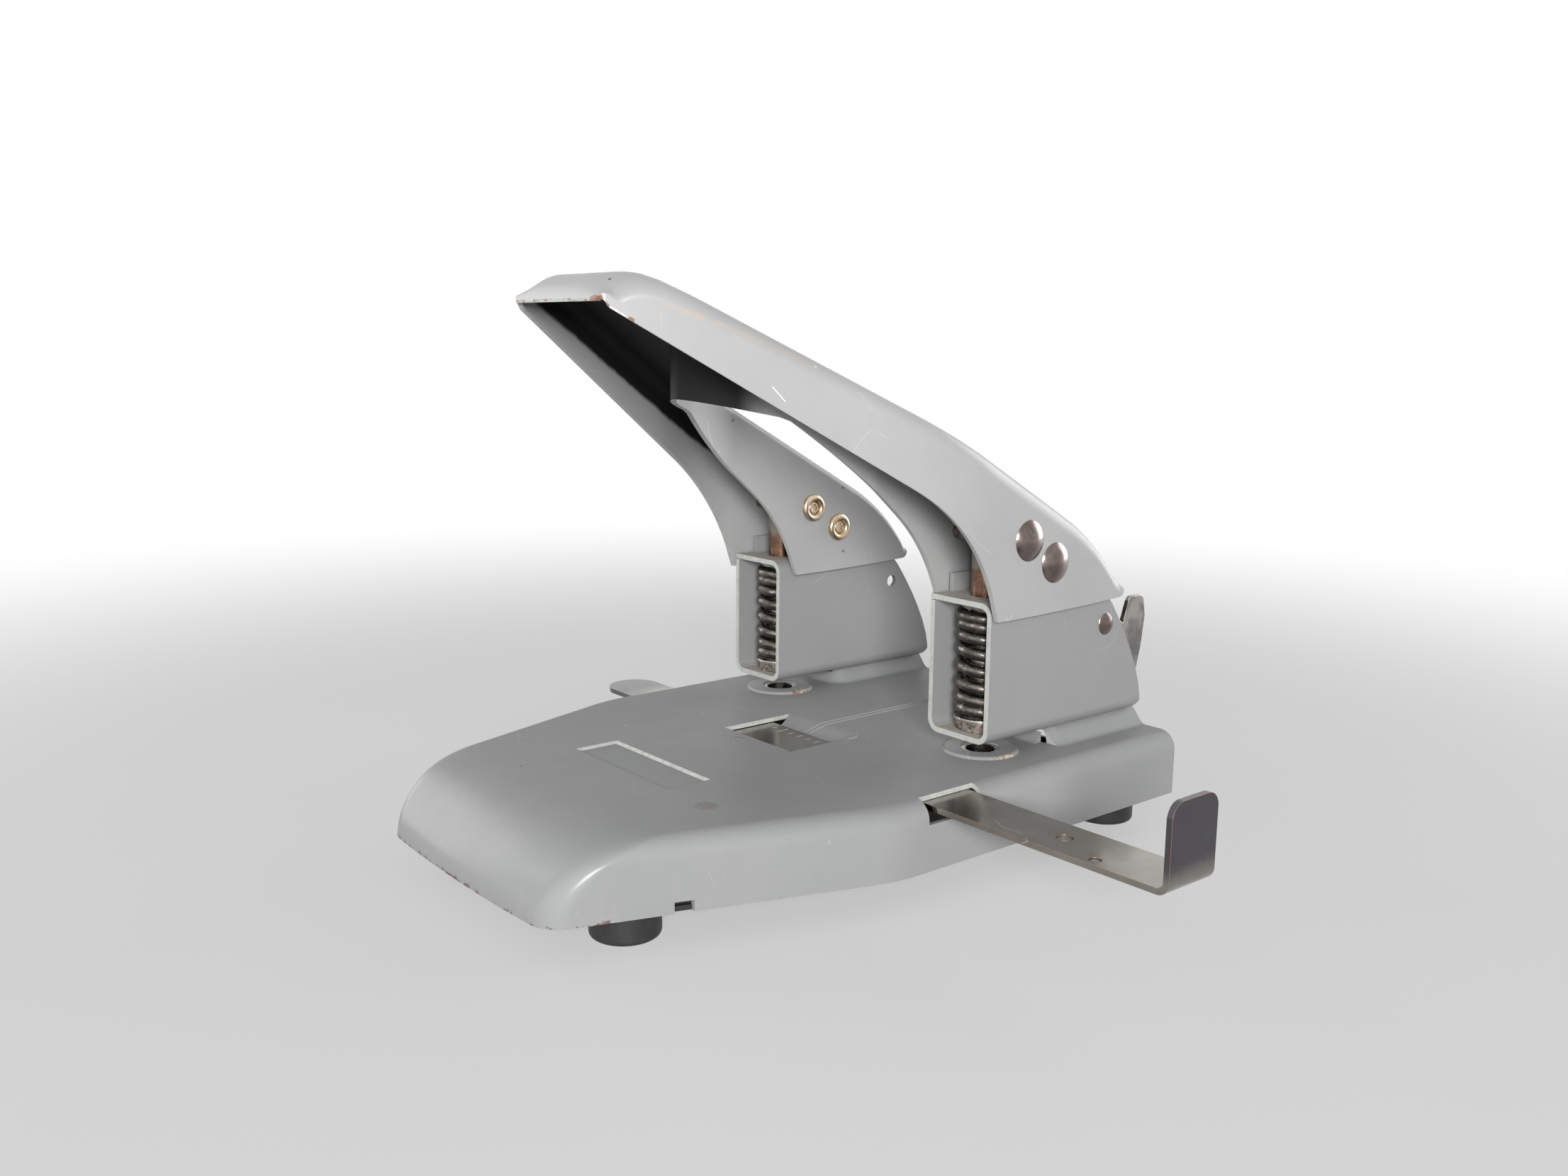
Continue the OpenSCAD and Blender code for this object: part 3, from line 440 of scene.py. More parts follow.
    def wear(self, **values):
        """Sets or links the shader's sockets, with _ for a space."""
        for key, value in values.items():
            socket = self.shader.inputs[key.replace("_", " ")]
            if isinstance(value, Value):
                self.tree.links.new(value.socket, socket)
            elif socket.type == "RGBA":
                socket.default_value = (*value, 1)
            else:
                socket.default_value = value
        return self.material


def colour_of(name):
    return tuple(getattr(settings("colours"), name))


def once(make):
    """Makes a material at its first use and gives the same one afterwards."""
    made = {}

    def give():
        if not made:
            made["material"] = make()
        return made["material"]
    return give


def enamel_look(name, chip_level, rust_level):
    """Satin grey enamel with clouding, scratches, nicks and chips that show primer and rust."""
    look = Finish(name)
    cloud = look.ramp(look.noise(22, 3, 0.6), 0.3, 0.7)
    paint = look.mix(colour_of("enamel"), colour_of("enamel_dark"), cloud * 0.55)
    grime = look.ramp(look.noise(6, 5, 0.7), 0.55, 0.8)
    paint = look.mix(paint, colour_of("patina"), grime * 0.06)
    hairs = look.scratches(31, 0.0016, 0.57, (0.013, 0.041, 0.007))
    marks = look.scratches(17, 0.0024, 0.64, (0.051, 0.003, 0.029))
    light = (hairs * 0.5).most(marks * 0.35)
    nicks = look.specks(5.5, 0.10, 0.075, (0.004, 0.002, 0.011))
    dark = look.specks(9, 0.07, 0.05, (0.017, 0.023, 0.005))
    paint = look.mix(paint, (0.62, 0.62, 0.60), light.most(nicks * 0.75))
    paint = look.mix(paint, (0.06, 0.05, 0.045), dark * 0.8)
    chip = look.ramp(look.noise(3.2, 5, 0.68), chip_level, chip_level + 0.03)
    rusty = look.ramp(look.noise(9, 3, 0.6), rust_level, rust_level + 0.08)
    bare = look.mix(colour_of("primer"), colour_of("rust"), rusty)
    paint = look.mix(paint, bare, chip)
    peel = look.noise(0.9, 2, 0.5)
    relief = look.bump(peel, 0.012)
    relief = look.bump(1 - chip.most(light * 0.6), 0.05, relief)
    sheen = look.noise(8, 4, 0.6) * 0.10 + look.noise(0.5, 2, 0.5) * 0.05 + chip * 0.25 + 0.27
    return look, paint, relief, sheen


@once
def enamel():
    """The enamel of the frames, darker than the lever's: partly duller paint, partly painted shade."""
    look, paint, relief, sheen = enamel_look("grey_enamel", 0.80, 0.5)
    # Painted shade, partly duller paint: the frames' enamel is mixed half with dark grey.
    paint = look.mix(paint, (0.20, 0.20, 0.20), 0.5)
    return look.wear(Base_Color=paint, Roughness=sheen, Normal=relief, Specular_IOR_Level=0.4)


@once
def enamel_base():
    """The enamel of the base, darker than the lever's and more so on its flat top towards the rear, partly
    duller paint and partly painted shade; stained on its top, with reddish chips along its nose.
    """
    look, paint, relief, sheen = enamel_look("grey_enamel_base", 0.80, 0.5)
    stain = look.patch((28.6, -69.9, 20.8), 2.6, 0.45, 1.6)
    paint = look.mix(paint, (0.24, 0.17, 0.11), stain * look.ramp(look.noise(0.7, 3, 0.6), 0.25, 0.6) * 0.7)
    dash = look.stroke((-5.6, -36.9, 20.8), (-3.4, -36.0, 20.8), 0.45)
    nick = look.stroke((-28.6, -51.4, 20.8), (-27.6, -51.1, 20.8), 0.5)
    paint = look.mix(paint, (0.05, 0.045, 0.04), dash * 0.8)
    paint = look.mix(paint, (0.66, 0.66, 0.64), nick)
    place = look.axis("Z")
    low = look.ramp(place, (RIM_Z + 1.3) * MM, (RIM_Z + 0.2) * MM)
    front = look.ramp(look.axis("Y"), ORIGIN.y - 92 * MM, ORIGIN.y - 99 * MM)
    chips = look.ramp(look.noise(2.6, 6, 0.75) + low * front * 0.16, 0.66, 0.70)
    paint = look.mix(paint, (0.15, 0.045, 0.045), chips * low)
    scuff = look.ramp(look.noise(5, 6, 0.75, look.mapped((1, 1, 0.4))), 0.56, 0.72)
    paint = look.mix(paint, (0.50, 0.50, 0.47), scuff * look.ramp(place, 0.016, 0.009) * 0.30)
    # Painted shade, partly duller paint: the whole base is mixed with the shade tint, more on its flat top
    # and more still towards the rear.
    flat = look.ramp(place, 0.0165, 0.0202)
    rearward_painted_shade = look.ramp(look.axis("Y"), ORIGIN.y - 96 * MM, ORIGIN.y - 52 * MM)
    paint = look.mix(paint, colour_of("enamel_shade"), flat * (rearward_painted_shade * 0.14 + 0.04) + 0.27)
    return look.wear(Base_Color=paint, Roughness=sheen + 0.08, Normal=relief, Specular_IOR_Level=0.1,
                     Coat_Weight=(1 - flat) * 0.3, Coat_Roughness=0.2)


def below_top(look):
    """How far a point of the lever lies below the plane of its straight top."""
    s = sizes("lever")
    grade = math.tan(s["slope"])
    level = (PIVOT.z + s["roof_rise"] + grade * PIVOT.y) * MM
    return level - (look.axis("Y") - ORIGIN.y) * grade - look.axis("Z")


def enamel_lever():
    """The enamel of the lever, rusty and bare at its front corner, with a pale orange line along the top bend
    of its right side that is partly a painted highlight and partly rubbed wear.
    """
    look, paint, relief, sheen = enamel_look("grey_enamel_lever", 0.80, 0.45)
    along, height = look.axis("Y"), look.axis("Z")
    lip = look.ramp(along, ORIGIN.y - 83.9 * MM, ORIGIN.y - 84.2 * MM) * look.ramp(height, 0.11645, 0.1162)
    paint = look.mix(paint, (0.36, 0.38, 0.33), lip * 0.8)
    flecks = look.ramp(look.noise(1.1, 5, 0.7, look.mapped((0.5, 1, 1))), 0.46, 0.56) * lip
    paint = look.mix(paint, (0.16, 0.07, 0.035), flecks * 0.85)
    # Painted highlight, partly rubbed wear: a pale orange line about 2 mm below the top along the right
    # side's bend, fading out at both ends.
    ahead = (ORIGIN.y - 38 * MM - along) / (38 * MM)
    line = look.ramp(abs(below_top(look) - ahead * ahead * 0.004 - 0.002), 0.0007, 0.0001)
    line = line * look.ramp(ahead, -0.2, 0.5) * look.ramp(ahead, 1.05, 0.8)
    line = line * look.ramp(look.axis("X"), 0.0, 0.002)
    paint = look.mix(paint, (0.55, 0.37, 0.27), line * look.ramp(look.noise(4, 4, 0.6), 0.3, 0.7) * 0.55)
    bare = look.stroke((16.4, -82.6, 114.6), (17.6, -80.1, 112.9), 0.9, 0.8, 0.7)
    bare = bare.most(look.stroke((29.26, -54.75, 100.27), (30.29, -52.5, 97.6), 0.28, 0.3))
    paint = look.mix(paint, (0.70, 0.69, 0.66), bare)
    rust = look.stroke((13.4, -84.5, 116.3), (15.6, -83.9, 116.0), 1.5, 0.85, 0.7)
    rust = rust.most(look.stroke((15.6, -83.9, 115.9), (16.3, -82.8, 114.8), 1.1, 0.85, 0.6))
    rust = rust.most(look.patch((18.2, -79.0, 112.3), 0.7, 0.8, 0.6))
    paint = look.mix(paint, look.mix((0.30, 0.13, 0.07), (0.13, 0.05, 0.03), look.noise(0.9, 4, 0.7)), rust)
    speck = look.patch((12.85, -80.0, 119.5), 0.5, 0.5, 0.5)
    speck = speck.most(look.patch((13.4, -80.9, 118.9), 0.22, 0.4, 0.4))
    paint = look.mix(paint, (0.06, 0.02, 0.02), speck)
    return look.wear(Base_Color=paint, Roughness=sheen, Normal=relief, Specular_IOR_Level=0.5)


def enamel_inside():
    """Thin enamel inside the lever, black with painted shadow under its top and at the front of the gap
    between the arms, and paler on the flanges.
    """
    look, paint, relief, sheen = enamel_look("grey_enamel_inside", 0.78, 0.5)
    along = look.axis("Y") - ORIGIN.y
    # Painted shadow: black within about 8 mm below the plane of the lever's top, where the arms shade the
    # inside.
    dark = look.ramp(below_top(look) + look.noise(5, 4, 0.6) * 0.0012, 0.0092, 0.0078)
    # Painted shadow: also black around the front of the gap between the arms.
    painted_gap_shadow = look.ramp(abs(look.axis("X") - ORIGIN.x), 0.017, 0.011) * look.ramp(along, -0.038, -0.046)
    dark = dark.most(painted_gap_shadow)
    paint = look.mix(paint, (0.007, 0.007, 0.008), dark * 0.985)
    return look.wear(Base_Color=paint, Roughness=sheen + dark * 0.3, Normal=relief, Specular_IOR_Level=0.15)


@once
def enamel_edge():
    """Thin enamel on the rounded edges, worn through in places."""
    look, paint, relief, sheen = enamel_look("enamel_edge", 0.60, 0.58)
    pale = look.ramp(look.noise(2.4, 4, 0.65), 0.38, 0.62)
    paint = look.mix(paint, colour_of("sheet_edge"), pale * 0.7)
    return look.wear(Base_Color=paint, Roughness=sheen, Normal=relief)


@once
def sheet_edge():
    """Thin greenish paint on the cut faces of the sheet."""
    look = Finish("thin_paint_on_cut_edge")
    shade = look.ramp(look.noise(1.6, 5, 0.7), 0.40, 0.66)
    paint = look.mix((0.48, 0.495, 0.465), (0.36, 0.372, 0.35), shade * 0.7)
    fleck = look.ramp(look.noise(0.8, 4, 0.7), 0.66, 0.72)
    paint = look.mix(paint, colour_of("rust"), fleck * 0.5)
    return look.wear(Base_Color=paint, Roughness=shade * 0.2 + 0.4,
                     Normal=look.bump(look.noise(0.5, 3, 0.6), 0.03))


@once
def die_enamel():
    """The painted die rings, darkened like the base top, partly duller paint and partly painted shade, and
    chipped to beige primer and rust at both sides.
    """
    look, paint, relief, sheen = enamel_look("die_enamel", 0.78, 0.5)
    # Painted shade, partly duller paint: mixed with the shade tint like the base top.
    paint = look.mix(paint, colour_of("enamel_shade"), 0.42)
    side = abs(abs(look.axis("X") - ORIGIN.x) - AXIS_X * MM) / (DIE_R * MM)
    rim = look.ramp(side, 0.72, 0.98)
    chip = look.ramp(look.noise(1.7, 5, 0.7) + rim * 0.16, 0.60, 0.64)
    bare = look.mix((0.52, 0.46, 0.36), (0.22, 0.12, 0.07), look.ramp(look.noise(0.9, 4, 0.7), 0.46, 0.62))
    paint = look.mix(paint, bare, chip * rim)
    return look.wear(Base_Color=paint, Roughness=sheen + chip * rim * 0.2,
                     Normal=look.bump(1 - chip * rim, 0.06, relief), Specular_IOR_Level=0.15)


@once
def dusty_enamel():
    """Enamel under a layer of sandy paper dust."""
    look, paint, relief, sheen = enamel_look("dusty_enamel", 0.80, 0.5)
    drift = look.ramp(look.noise(2.2, 5, 0.7), 0.36, 0.66)
    paint = look.mix(paint, colour_of("dust"), drift * 0.75)
    relief = look.bump(drift * look.noise(0.35, 2, 0.6), 0.10, relief)
    return look.wear(Base_Color=paint, Roughness=sheen + drift * 0.4, Normal=relief)


@once
def nickel():
    """Nickel plate gone dull, with brown patina and rub marks, and a painted dark reflection on its upturned
    end and its left end.
    """
    look = Finish("dull_nickel")
    cloud = look.ramp(look.noise(13, 4, 0.6), 0.36, 0.72)
    brush = look.noise(2.6, 3, 0.6, look.mapped((0.06, 1, 1)))
    metal = look.mix(colour_of("nickel"), colour_of("patina"), cloud * 0.35)
    # Painted reflection: the upturned end is darkened to a bluish near-black, standing for a dark surround
    # seen in it.
    height = look.axis("Z") + look.noise(6, 4, 0.6) * 0.003
    end = look.ramp(height, (BAR_LOW.z + 2.5) * MM, (BAR_LOW.z + 7.5) * MM)
    metal = look.mix(metal, (0.090, 0.085, 0.100), end * 0.9)
    # Painted reflection: the left end of the bar is darkened bluish in the same way.
    left = look.ramp(look.axis("X") + look.noise(8, 3, 0.6) * 0.006, ORIGIN.x - 0.050, ORIGIN.x - 0.057)
    metal = look.mix(metal, (0.13, 0.128, 0.145), left * 0.85)
    spots = look.ramp(look.noise(1.3, 5, 0.7), 0.70, 0.76)
    metal = look.mix(metal, (0.09, 0.06, 0.05), spots * 0.5)
    lines = look.scratches(23, 0.003, 0.5, (0.021, 0.009, 0.033))
    metal = look.mix(metal, (0.75, 0.73, 0.69), lines * 0.5)
    sheen = brush * 0.08 + cloud * 0.10 + spots * 0.2 + 0.12
    relief = look.bump(brush + lines * 0.5, 0.008)
    return look.wear(Base_Color=metal, Roughness=sheen, Metallic=1 - spots * 0.4, Normal=relief)


@once
def worn_nickel_edge():
    """Edges of the guide bar, rubbed through to copper."""
    look = Finish("worn_nickel_edge")
    rub = look.ramp(look.noise(7, 4, 0.6, look.mapped((0.35, 1, 1))), 0.42, 0.58)
    metal = look.mix(colour_of("nickel"), colour_of("copper"), rub * 0.85)
    sheen = look.noise(1.2, 3, 0.6) * 0.2 + 0.18
    return look.wear(Base_Color=metal, Roughness=sheen, Metallic=1.0,
                     Normal=look.bump(look.noise(0.8, 3), 0.01))


@once
def bar_mark():
    """Pale engraved lines on the guide bar, filled unevenly."""
    look = Finish("bar_mark")
    fill = look.ramp(look.noise(0.8, 3, 0.6), 0.3, 0.6)
    tone = look.mix((0.40, 0.37, 0.32), (0.72, 0.70, 0.64), fill)
    return look.wear(Base_Color=tone, Roughness=look.noise(0.6) * 0.3 + 0.35, Metallic=0.6,
                     Normal=look.bump(fill, 0.01))


@once
def rivet_head():
    """Bronze-tinted nickel on the domed rivet heads, with a painted highlight that brightens them towards the
    rear.
    """
    look = Finish("bronzed_nickel")
    tone = look.ramp(look.noise(3.2, 4, 0.6), 0.34, 0.68)
    metal = look.mix((0.20, 0.165, 0.155), (0.12, 0.085, 0.07), tone * 0.7)
    # Painted highlight: the 'rub' attribute rises from the front edge of a head to its rear, and the heads
    # are lightened where it is high.
    rub = look.node("ShaderNodeAttribute", {"attribute_name": "rub"}, None, "Fac")
    bright = look.ramp(rub + look.noise(2.2, 4, 0.65) * 0.3, 0.52, 1.05)
    metal = look.mix(metal, (0.50, 0.46, 0.43), bright * 0.8)
    pits = look.specks(0.7, 0.10, 0.16)
    metal = look.mix(metal, (0.06, 0.045, 0.04), pits * 0.7)
    lines = look.scratches(6, 0.006, 0.50, (0.003, 0.011, 0.019))
    sheen = look.noise(1.4, 4, 0.65) * 0.16 + pits * 0.2 + 0.15
    return look.wear(Base_Color=look.mix(metal, (0.50, 0.46, 0.43), lines * 0.35), Roughness=sheen,
                     Metallic=1.0, Normal=look.bump(1 - pits.most(lines * 0.4), 0.02))


@once
def brass():
    """Worn brass plate of the rolled eyelets."""
    look = Finish("eyelet_brass")
    tone = look.ramp(look.noise(1.8, 4, 0.65), 0.36, 0.68)
    metal = look.mix(colour_of("brass"), (0.36, 0.25, 0.16), tone * 0.6)
    metal = look.mix(metal, (0.70, 0.65, 0.57), look.ramp(look.noise(2.6, 3), 0.5, 0.66) * 0.5)
    sheen = look.noise(0.8, 4, 0.65) * 0.24 + 0.17
    return look.wear(Base_Color=metal, Roughness=sheen, Metallic=1.0,
                     Normal=look.bump(look.noise(0.5, 3), 0.015))


@once
def spring_steel():
    """Dark oiled spring wire with dust in its hollows and rubbed outsides."""
    look = Finish("oiled_spring_steel")
    grease = look.ramp(look.noise(1.6, 5, 0.7), 0.42, 0.66)
    metal = look.mix(colour_of("spring_steel"), (0.055, 0.045, 0.04), grease * 0.8)
    rub = look.ramp(look.noise(2.8, 4, 0.6, look.mapped((1, 1, 2))), 0.55, 0.72)
    metal = look.mix(metal, (0.46, 0.42, 0.37), rub * 0.8)
    dust = look.ramp(look.noise(0.7, 4, 0.7), 0.60, 0.74)
    metal = look.mix(metal, colour_of("dust"), dust * 0.45)
    sheen = grease * 0.22 + dust * 0.3 + 0.26
    return look.wear(Base_Color=metal, Roughness=sheen, Metallic=1 - dust * 0.7,
                     Normal=look.bump(look.noise(0.5, 4, 0.7), 0.03))


@once
def pin_steel():
    """Punch pins: bright steel inside the springs, copper-brown above them, greenish paint at the top."""
    look = Finish("worn_pin_steel")
    height = look.axis("Z") + look.noise(2.4, 4, 0.7) * (4 * MM)
    copper = look.ramp(height, 0.0555, 0.0565)
    upper = look.ramp(height, 0.0625, 0.0645)
    shade = look.ramp(look.noise(1.8, 5, 0.7), 0.38, 0.66)
    brown = look.mix((0.23, 0.125, 0.085), (0.12, 0.075, 0.055), shade)
    stain = look.ramp(look.noise(1.5, 4, 0.6), 0.5, 0.7)
    metal = look.mix((0.50, 0.47, 0.42), (0.26, 0.20, 0.15), stain * 0.6)
    metal = look.mix(metal, brown, copper)
    metal = look.mix(metal, (0.24, 0.24, 0.20), upper * 0.9)
    streak = look.ramp(look.noise(1.1, 4, 0.6, look.mapped((1, 1, 0.12))), 0.56, 0.68)
    metal = look.mix(metal, (0.46, 0.34, 0.27), streak * copper * 0.45)
    sheen = look.noise(0.8, 4) * 0.16 + upper * 0.2 + 0.2
    return look.wear(Base_Color=metal, Roughness=sheen, Metallic=1 - upper * 0.8,
                     Normal=look.bump(streak, 0.012))


@once
def tool_steel():
    """Ground steel of bushes, washers and clips, dusty and brown."""
    look = Finish("dusty_tool_steel")
    dust = look.ramp(look.noise(1.1, 5, 0.7), 0.40, 0.64)
    metal = look.mix((0.20, 0.185, 0.17), (0.12, 0.085, 0.065), look.ramp(look.noise(2.5, 4, 0.6), 0.4, 0.7))
    metal = look.mix(metal, colour_of("dust"), dust * 0.35)
    return look.wear(Base_Color=metal, Roughness=dust * 0.4 + 0.28, Metallic=1 - dust * 0.8,
                     Normal=look.bump(look.noise(0.4, 4, 0.7), 0.03))


@once
def washer_steel():
    """Pale zinc plate of the spring washers."""
    look = Finish("pale_zinc")
    stain = look.ramp(look.noise(1.4, 5, 0.7), 0.44, 0.68)
    metal = look.mix((0.50, 0.48, 0.45), (0.24, 0.19, 0.15), stain * 0.7)
    return look.wear(Base_Color=metal, Roughness=stain * 0.3 + 0.26, Metallic=1 - stain * 0.3,
                     Normal=look.bump(look.noise(0.4, 3), 0.02))


def latch_steel():
    """Dull plated steel of the latch, brighter where it is rubbed."""
    look = Finish("latch_steel")
    rub = look.ramp(look.noise(4.5, 3, 0.5), 0.38, 0.66)
    metal = look.mix((0.20, 0.19, 0.19), (0.44, 0.42, 0.39), rub * 0.7)
    spots = look.specks(1.6, 0.12, 0.12)
    metal = look.mix(metal, (0.12, 0.08, 0.06), spots * 0.5)
    return look.wear(Base_Color=metal, Roughness=look.noise(1.2, 4) * 0.14 + spots * 0.2 + 0.24, Metallic=1.0,
                     Normal=look.bump(1 - spots, 0.012))


@once
def bright_edge():
    """Rubbed bright edges of plated steel."""
    look = Finish("bright_steel_edge")
    tone = look.ramp(look.noise(1.5, 4, 0.6), 0.36, 0.62)
    metal = look.mix((0.36, 0.33, 0.29), (0.70, 0.66, 0.58), tone)
    return look.wear(Base_Color=metal, Roughness=look.noise(0.8, 3) * 0.2 + 0.18, Metallic=1.0,
                     Normal=look.bump(look.noise(0.5, 3), 0.01))


@once
def rubber():
    """Black rubber of the feet, greyed by dust."""
    look = Finish("black_rubber")
    bloom = look.ramp(look.noise(3.5, 5, 0.65), 0.45, 0.75)
    tone = look.mix(colour_of("rubber"), (0.030, 0.029, 0.027), bloom * 0.7)
    tone = look.mix(tone, (0.20, 0.19, 0.17), look.specks(1.5, 0.12, 0.12) * 0.7)
    return look.wear(Base_Color=tone, Roughness=bloom * 0.2 + 0.52,
                     Normal=look.bump(look.noise(0.5, 3, 0.6), 0.03))


@once
def tray_plastic():
    """Black plastic of the chip tray, with grey rub marks."""
    look = Finish("black_plastic")
    rub = look.ramp(look.noise(12, 5, 0.65), 0.5, 0.75)
    tone = look.mix(colour_of("tray"), (0.07, 0.07, 0.072), rub * 0.5)
    lines = look.scratches(27, 0.002, 0.48, (0.011, 0.027, 0.039))
    tone = look.mix(tone, (0.20, 0.20, 0.20), lines * 0.6)
    return look.wear(Base_Color=tone, Roughness=look.noise(2, 3) * 0.12 + rub * 0.12 + 0.34,
                     Normal=look.bump(look.noise(0.8, 2) + lines, 0.012))


# Meshes

# Faces that meet at less than this angle count as one flat
FLAT_ANGLE = math.radians(0.1)


def add_object(name, data):
    obj = bpy.data.objects.new(name, data)
    bpy.context.scene.collection.objects.link(obj)
    return obj


def object_of(bm, name):
    mesh = bpy.data.meshes.new(name)
    bm.to_mesh(mesh)
    bm.free()
    return add_object(name, mesh)


def plain(obj):
    """Turns an object and its modifiers into a plain mesh."""
    bpy.context.view_layer.update()
    graph = bpy.context.evaluated_depsgraph_get()
    mesh = bpy.data.meshes.new_from_object(obj.evaluated_get(graph), preserve_all_data_layers=True,
                                           depsgraph=graph)
    obj.modifiers.clear()
    old = obj.data
    obj.data = mesh
    mesh.name = obj.name
    bpy.data.meshes.remove(old)
    return obj


def combine(obj, other, operation):
    """Adds a closed solid to obj or cuts it from obj, and deletes it."""
    boolean = obj.modifiers.new(operation, "BOOLEAN")
    boolean.operation = operation
    boolean.solver = "MANIFOLD"
    boolean.object = other
    plain(obj)
    mesh = other.data
    bpy.data.objects.remove(other)
    bpy.data.meshes.remove(mesh)
    return obj


def ring_solid(rings, name="cutter"):
    """A closed solid through a stack of rings, each with as many points."""
    bm = bmesh.new()
    rows = [[bm.verts.new(p) for p in ring] for ring in rings]
    n = len(rings[0])
    for low, high in zip(rows, rows[1:]):
        for i in range(n):
            bm.faces.new((low[i], low[(i + 1) % n], high[(i + 1) % n], high[i]))
    bm.faces.new(rows[0][::-1])
    bm.faces.new(rows[-1])
    bmesh.ops.recalc_face_normals(bm, faces=bm.faces)
    return object_of(bm, name)


def prism(outline, low, high):
    """A closed solid that stands on a plan outline."""
    return ring_solid([[(x, y, z) for x, y in outline] for z in (low, high)])


def circle(x, y, radius, steps=64):
    return [(x + radius * math.cos(2 * math.pi * i / steps), y + radius * math.sin(2 * math.pi * i / steps))
            for i in range(steps)]


def rectangle(x0, y0, x1, y1):
    return [(x0, y0), (x1, y0), (x1, y1), (x0, y1)]


def rounded(points, radii, steps):
    """A line through plan points with arcs for corners. A radius of 0 leaves a corner or an end plain."""
    points = [Vector(p) for p in points]
    line = []
    for i, (corner, radius) in enumerate(zip(points, radii)):
        if radius == 0:
            line.append(tuple(corner))
            continue
        back = (points[i - 1] - corner).normalized()
        ahead = (points[i + 1] - corner).normalized()
        half = back.angle(ahead) / 2
        reach = radius / math.tan(half)
        centre = corner + (back + ahead).normalized() * radius / math.sin(half)
        start = corner + back * reach - centre
        swing = (corner + ahead * reach - centre).angle_signed(start)
        for k in range(steps + 1):
            arm = start.copy()
            arm.rotate(Matrix.Rotation(swing * k / steps, 2))
            line.append(tuple(centre + arm))
    return line


def lathe(profile, steps=48, ring=False):
    """A round solid about Z from (radius, height) points, from axis to axis or as a closed ring."""
    bm = bmesh.new()
    rows = []
    for radius, height in profile:
        if radius == 0:
            rows.append([bm.verts.new((0, 0, height))] * steps)
        else:
            rows.append([bm.verts.new((x, y, height)) for x, y in circle(0, 0, radius, steps)])
    for low, high in zip(rows, rows[1:] + (rows[:1] if ring else [])):
        for i in range(steps):
            j = (i + 1) % steps
            corners = [low[i], low[j], high[j], high[i]]
            bm.faces.new(list(dict.fromkeys(corners)))
    bmesh.ops.recalc_face_normals(bm, faces=bm.faces)
    return bm


def softened(obj, width, angle=math.radians(38)):
    """Rounds the sharp edges of obj, with its second material on them."""
    bevel = obj.modifiers.new("edges", "BEVEL")
    bevel.width = width
    bevel.segments = 2
    bevel.limit_method = "ANGLE"
    bevel.angle_limit = angle
    bevel.use_clamp_overlap = True
    bevel.miter_outer = "MITER_ARC"
    bevel.harden_normals = False
    bevel.material = 1
    return plain(obj)


def flat_areas(bm):
    """Area of the flat that each face is a part of."""
    areas = {}
    for seed in bm.faces:
        if seed in areas:
            continue
        flat = {seed}
        waiting = [seed]
        while waiting:
            face = waiting.pop()
            near = {other for edge in face.edges for other in edge.link_faces} - flat
            joined = [other for other in near if face.normal.angle(other.normal, math.pi) < FLAT_ANGLE]
            flat.update(joined)
            waiting.extend(joined)
        total = sum(face.calc_area() for face in flat)
        areas.update((face, total) for face in flat)
    return areas


def eased(share):
    """A share held between 0 and 1 that starts and ends gently."""
    t = min(1, max(0, share))
    return t * t * (3 - 2 * t)


def smooth(obj, angle=math.radians(32)):
    """Smooth shading with sharp edges kept. Each corner's normal follows the largest flats around it."""
    bm = bmesh.new()
    bm.from_mesh(obj.data)
    bmesh.ops.dissolve_degenerate(bm, dist=0.001, edges=bm.edges)
    bm.normal_update()
    weights = flat_areas(bm)
    limit = math.cos(angle)
    normals = []
    for face in bm.faces:
        for loop in face.loops:
            around = [other for other in loop.vert.link_faces if other.normal.dot(face.normal) > limit]
            total = sum((other.normal * weights[other] for other in around), Vector())
            normals.append(total.normalized() if total.length > 0 else face.normal.copy())
    bm.to_mesh(obj.data)
    bm.free()
    obj.data.polygons.foreach_set("use_smooth", [True] * len(obj.data.polygons))
    obj.data.normals_split_custom_set(normals)
    return obj


def hand_over(obj, body, slot, *nodes):
    """Moves a finished shape into the shared frame and hands it to its body."""
    obj.data.transform(TO_ROW)
    obj.data.update()
    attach(obj, body)
    if nodes:
        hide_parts(*nodes)
    return obj


def give_materials(obj, *materials):
    obj.data.materials.clear()
    for material in materials:
        obj.data.materials.append(material)


def cad_copy(node, name):
    """A merged copy of a CAD node, in millimetres about the punch axes, with flat faces joined."""
    bm = bmesh.new()
    bm.from_mesh(frame["nodes"][node].data)
    bmesh.ops.transform(bm, matrix=TO_PUNCH, verts=bm.verts)
    bmesh.ops.remove_doubles(bm, verts=bm.verts, dist=0.002)
    bmesh.ops.dissolve_limit(bm, angle_limit=math.radians(0.6), verts=bm.verts, edges=bm.edges,
                             use_dissolve_boundaries=False, delimit=set())
    return object_of(bm, name)


def dress(node, name, body, slot, look, edge_look, width):
    """A CAD node's shape with rounded edges and its own finish."""
    obj = cad_copy(node, name)
    give_materials(obj, look, edge_look)
    softened(obj, width)
    smooth(obj)
    return hand_over(obj, body, slot, node)


# Geometry nodes

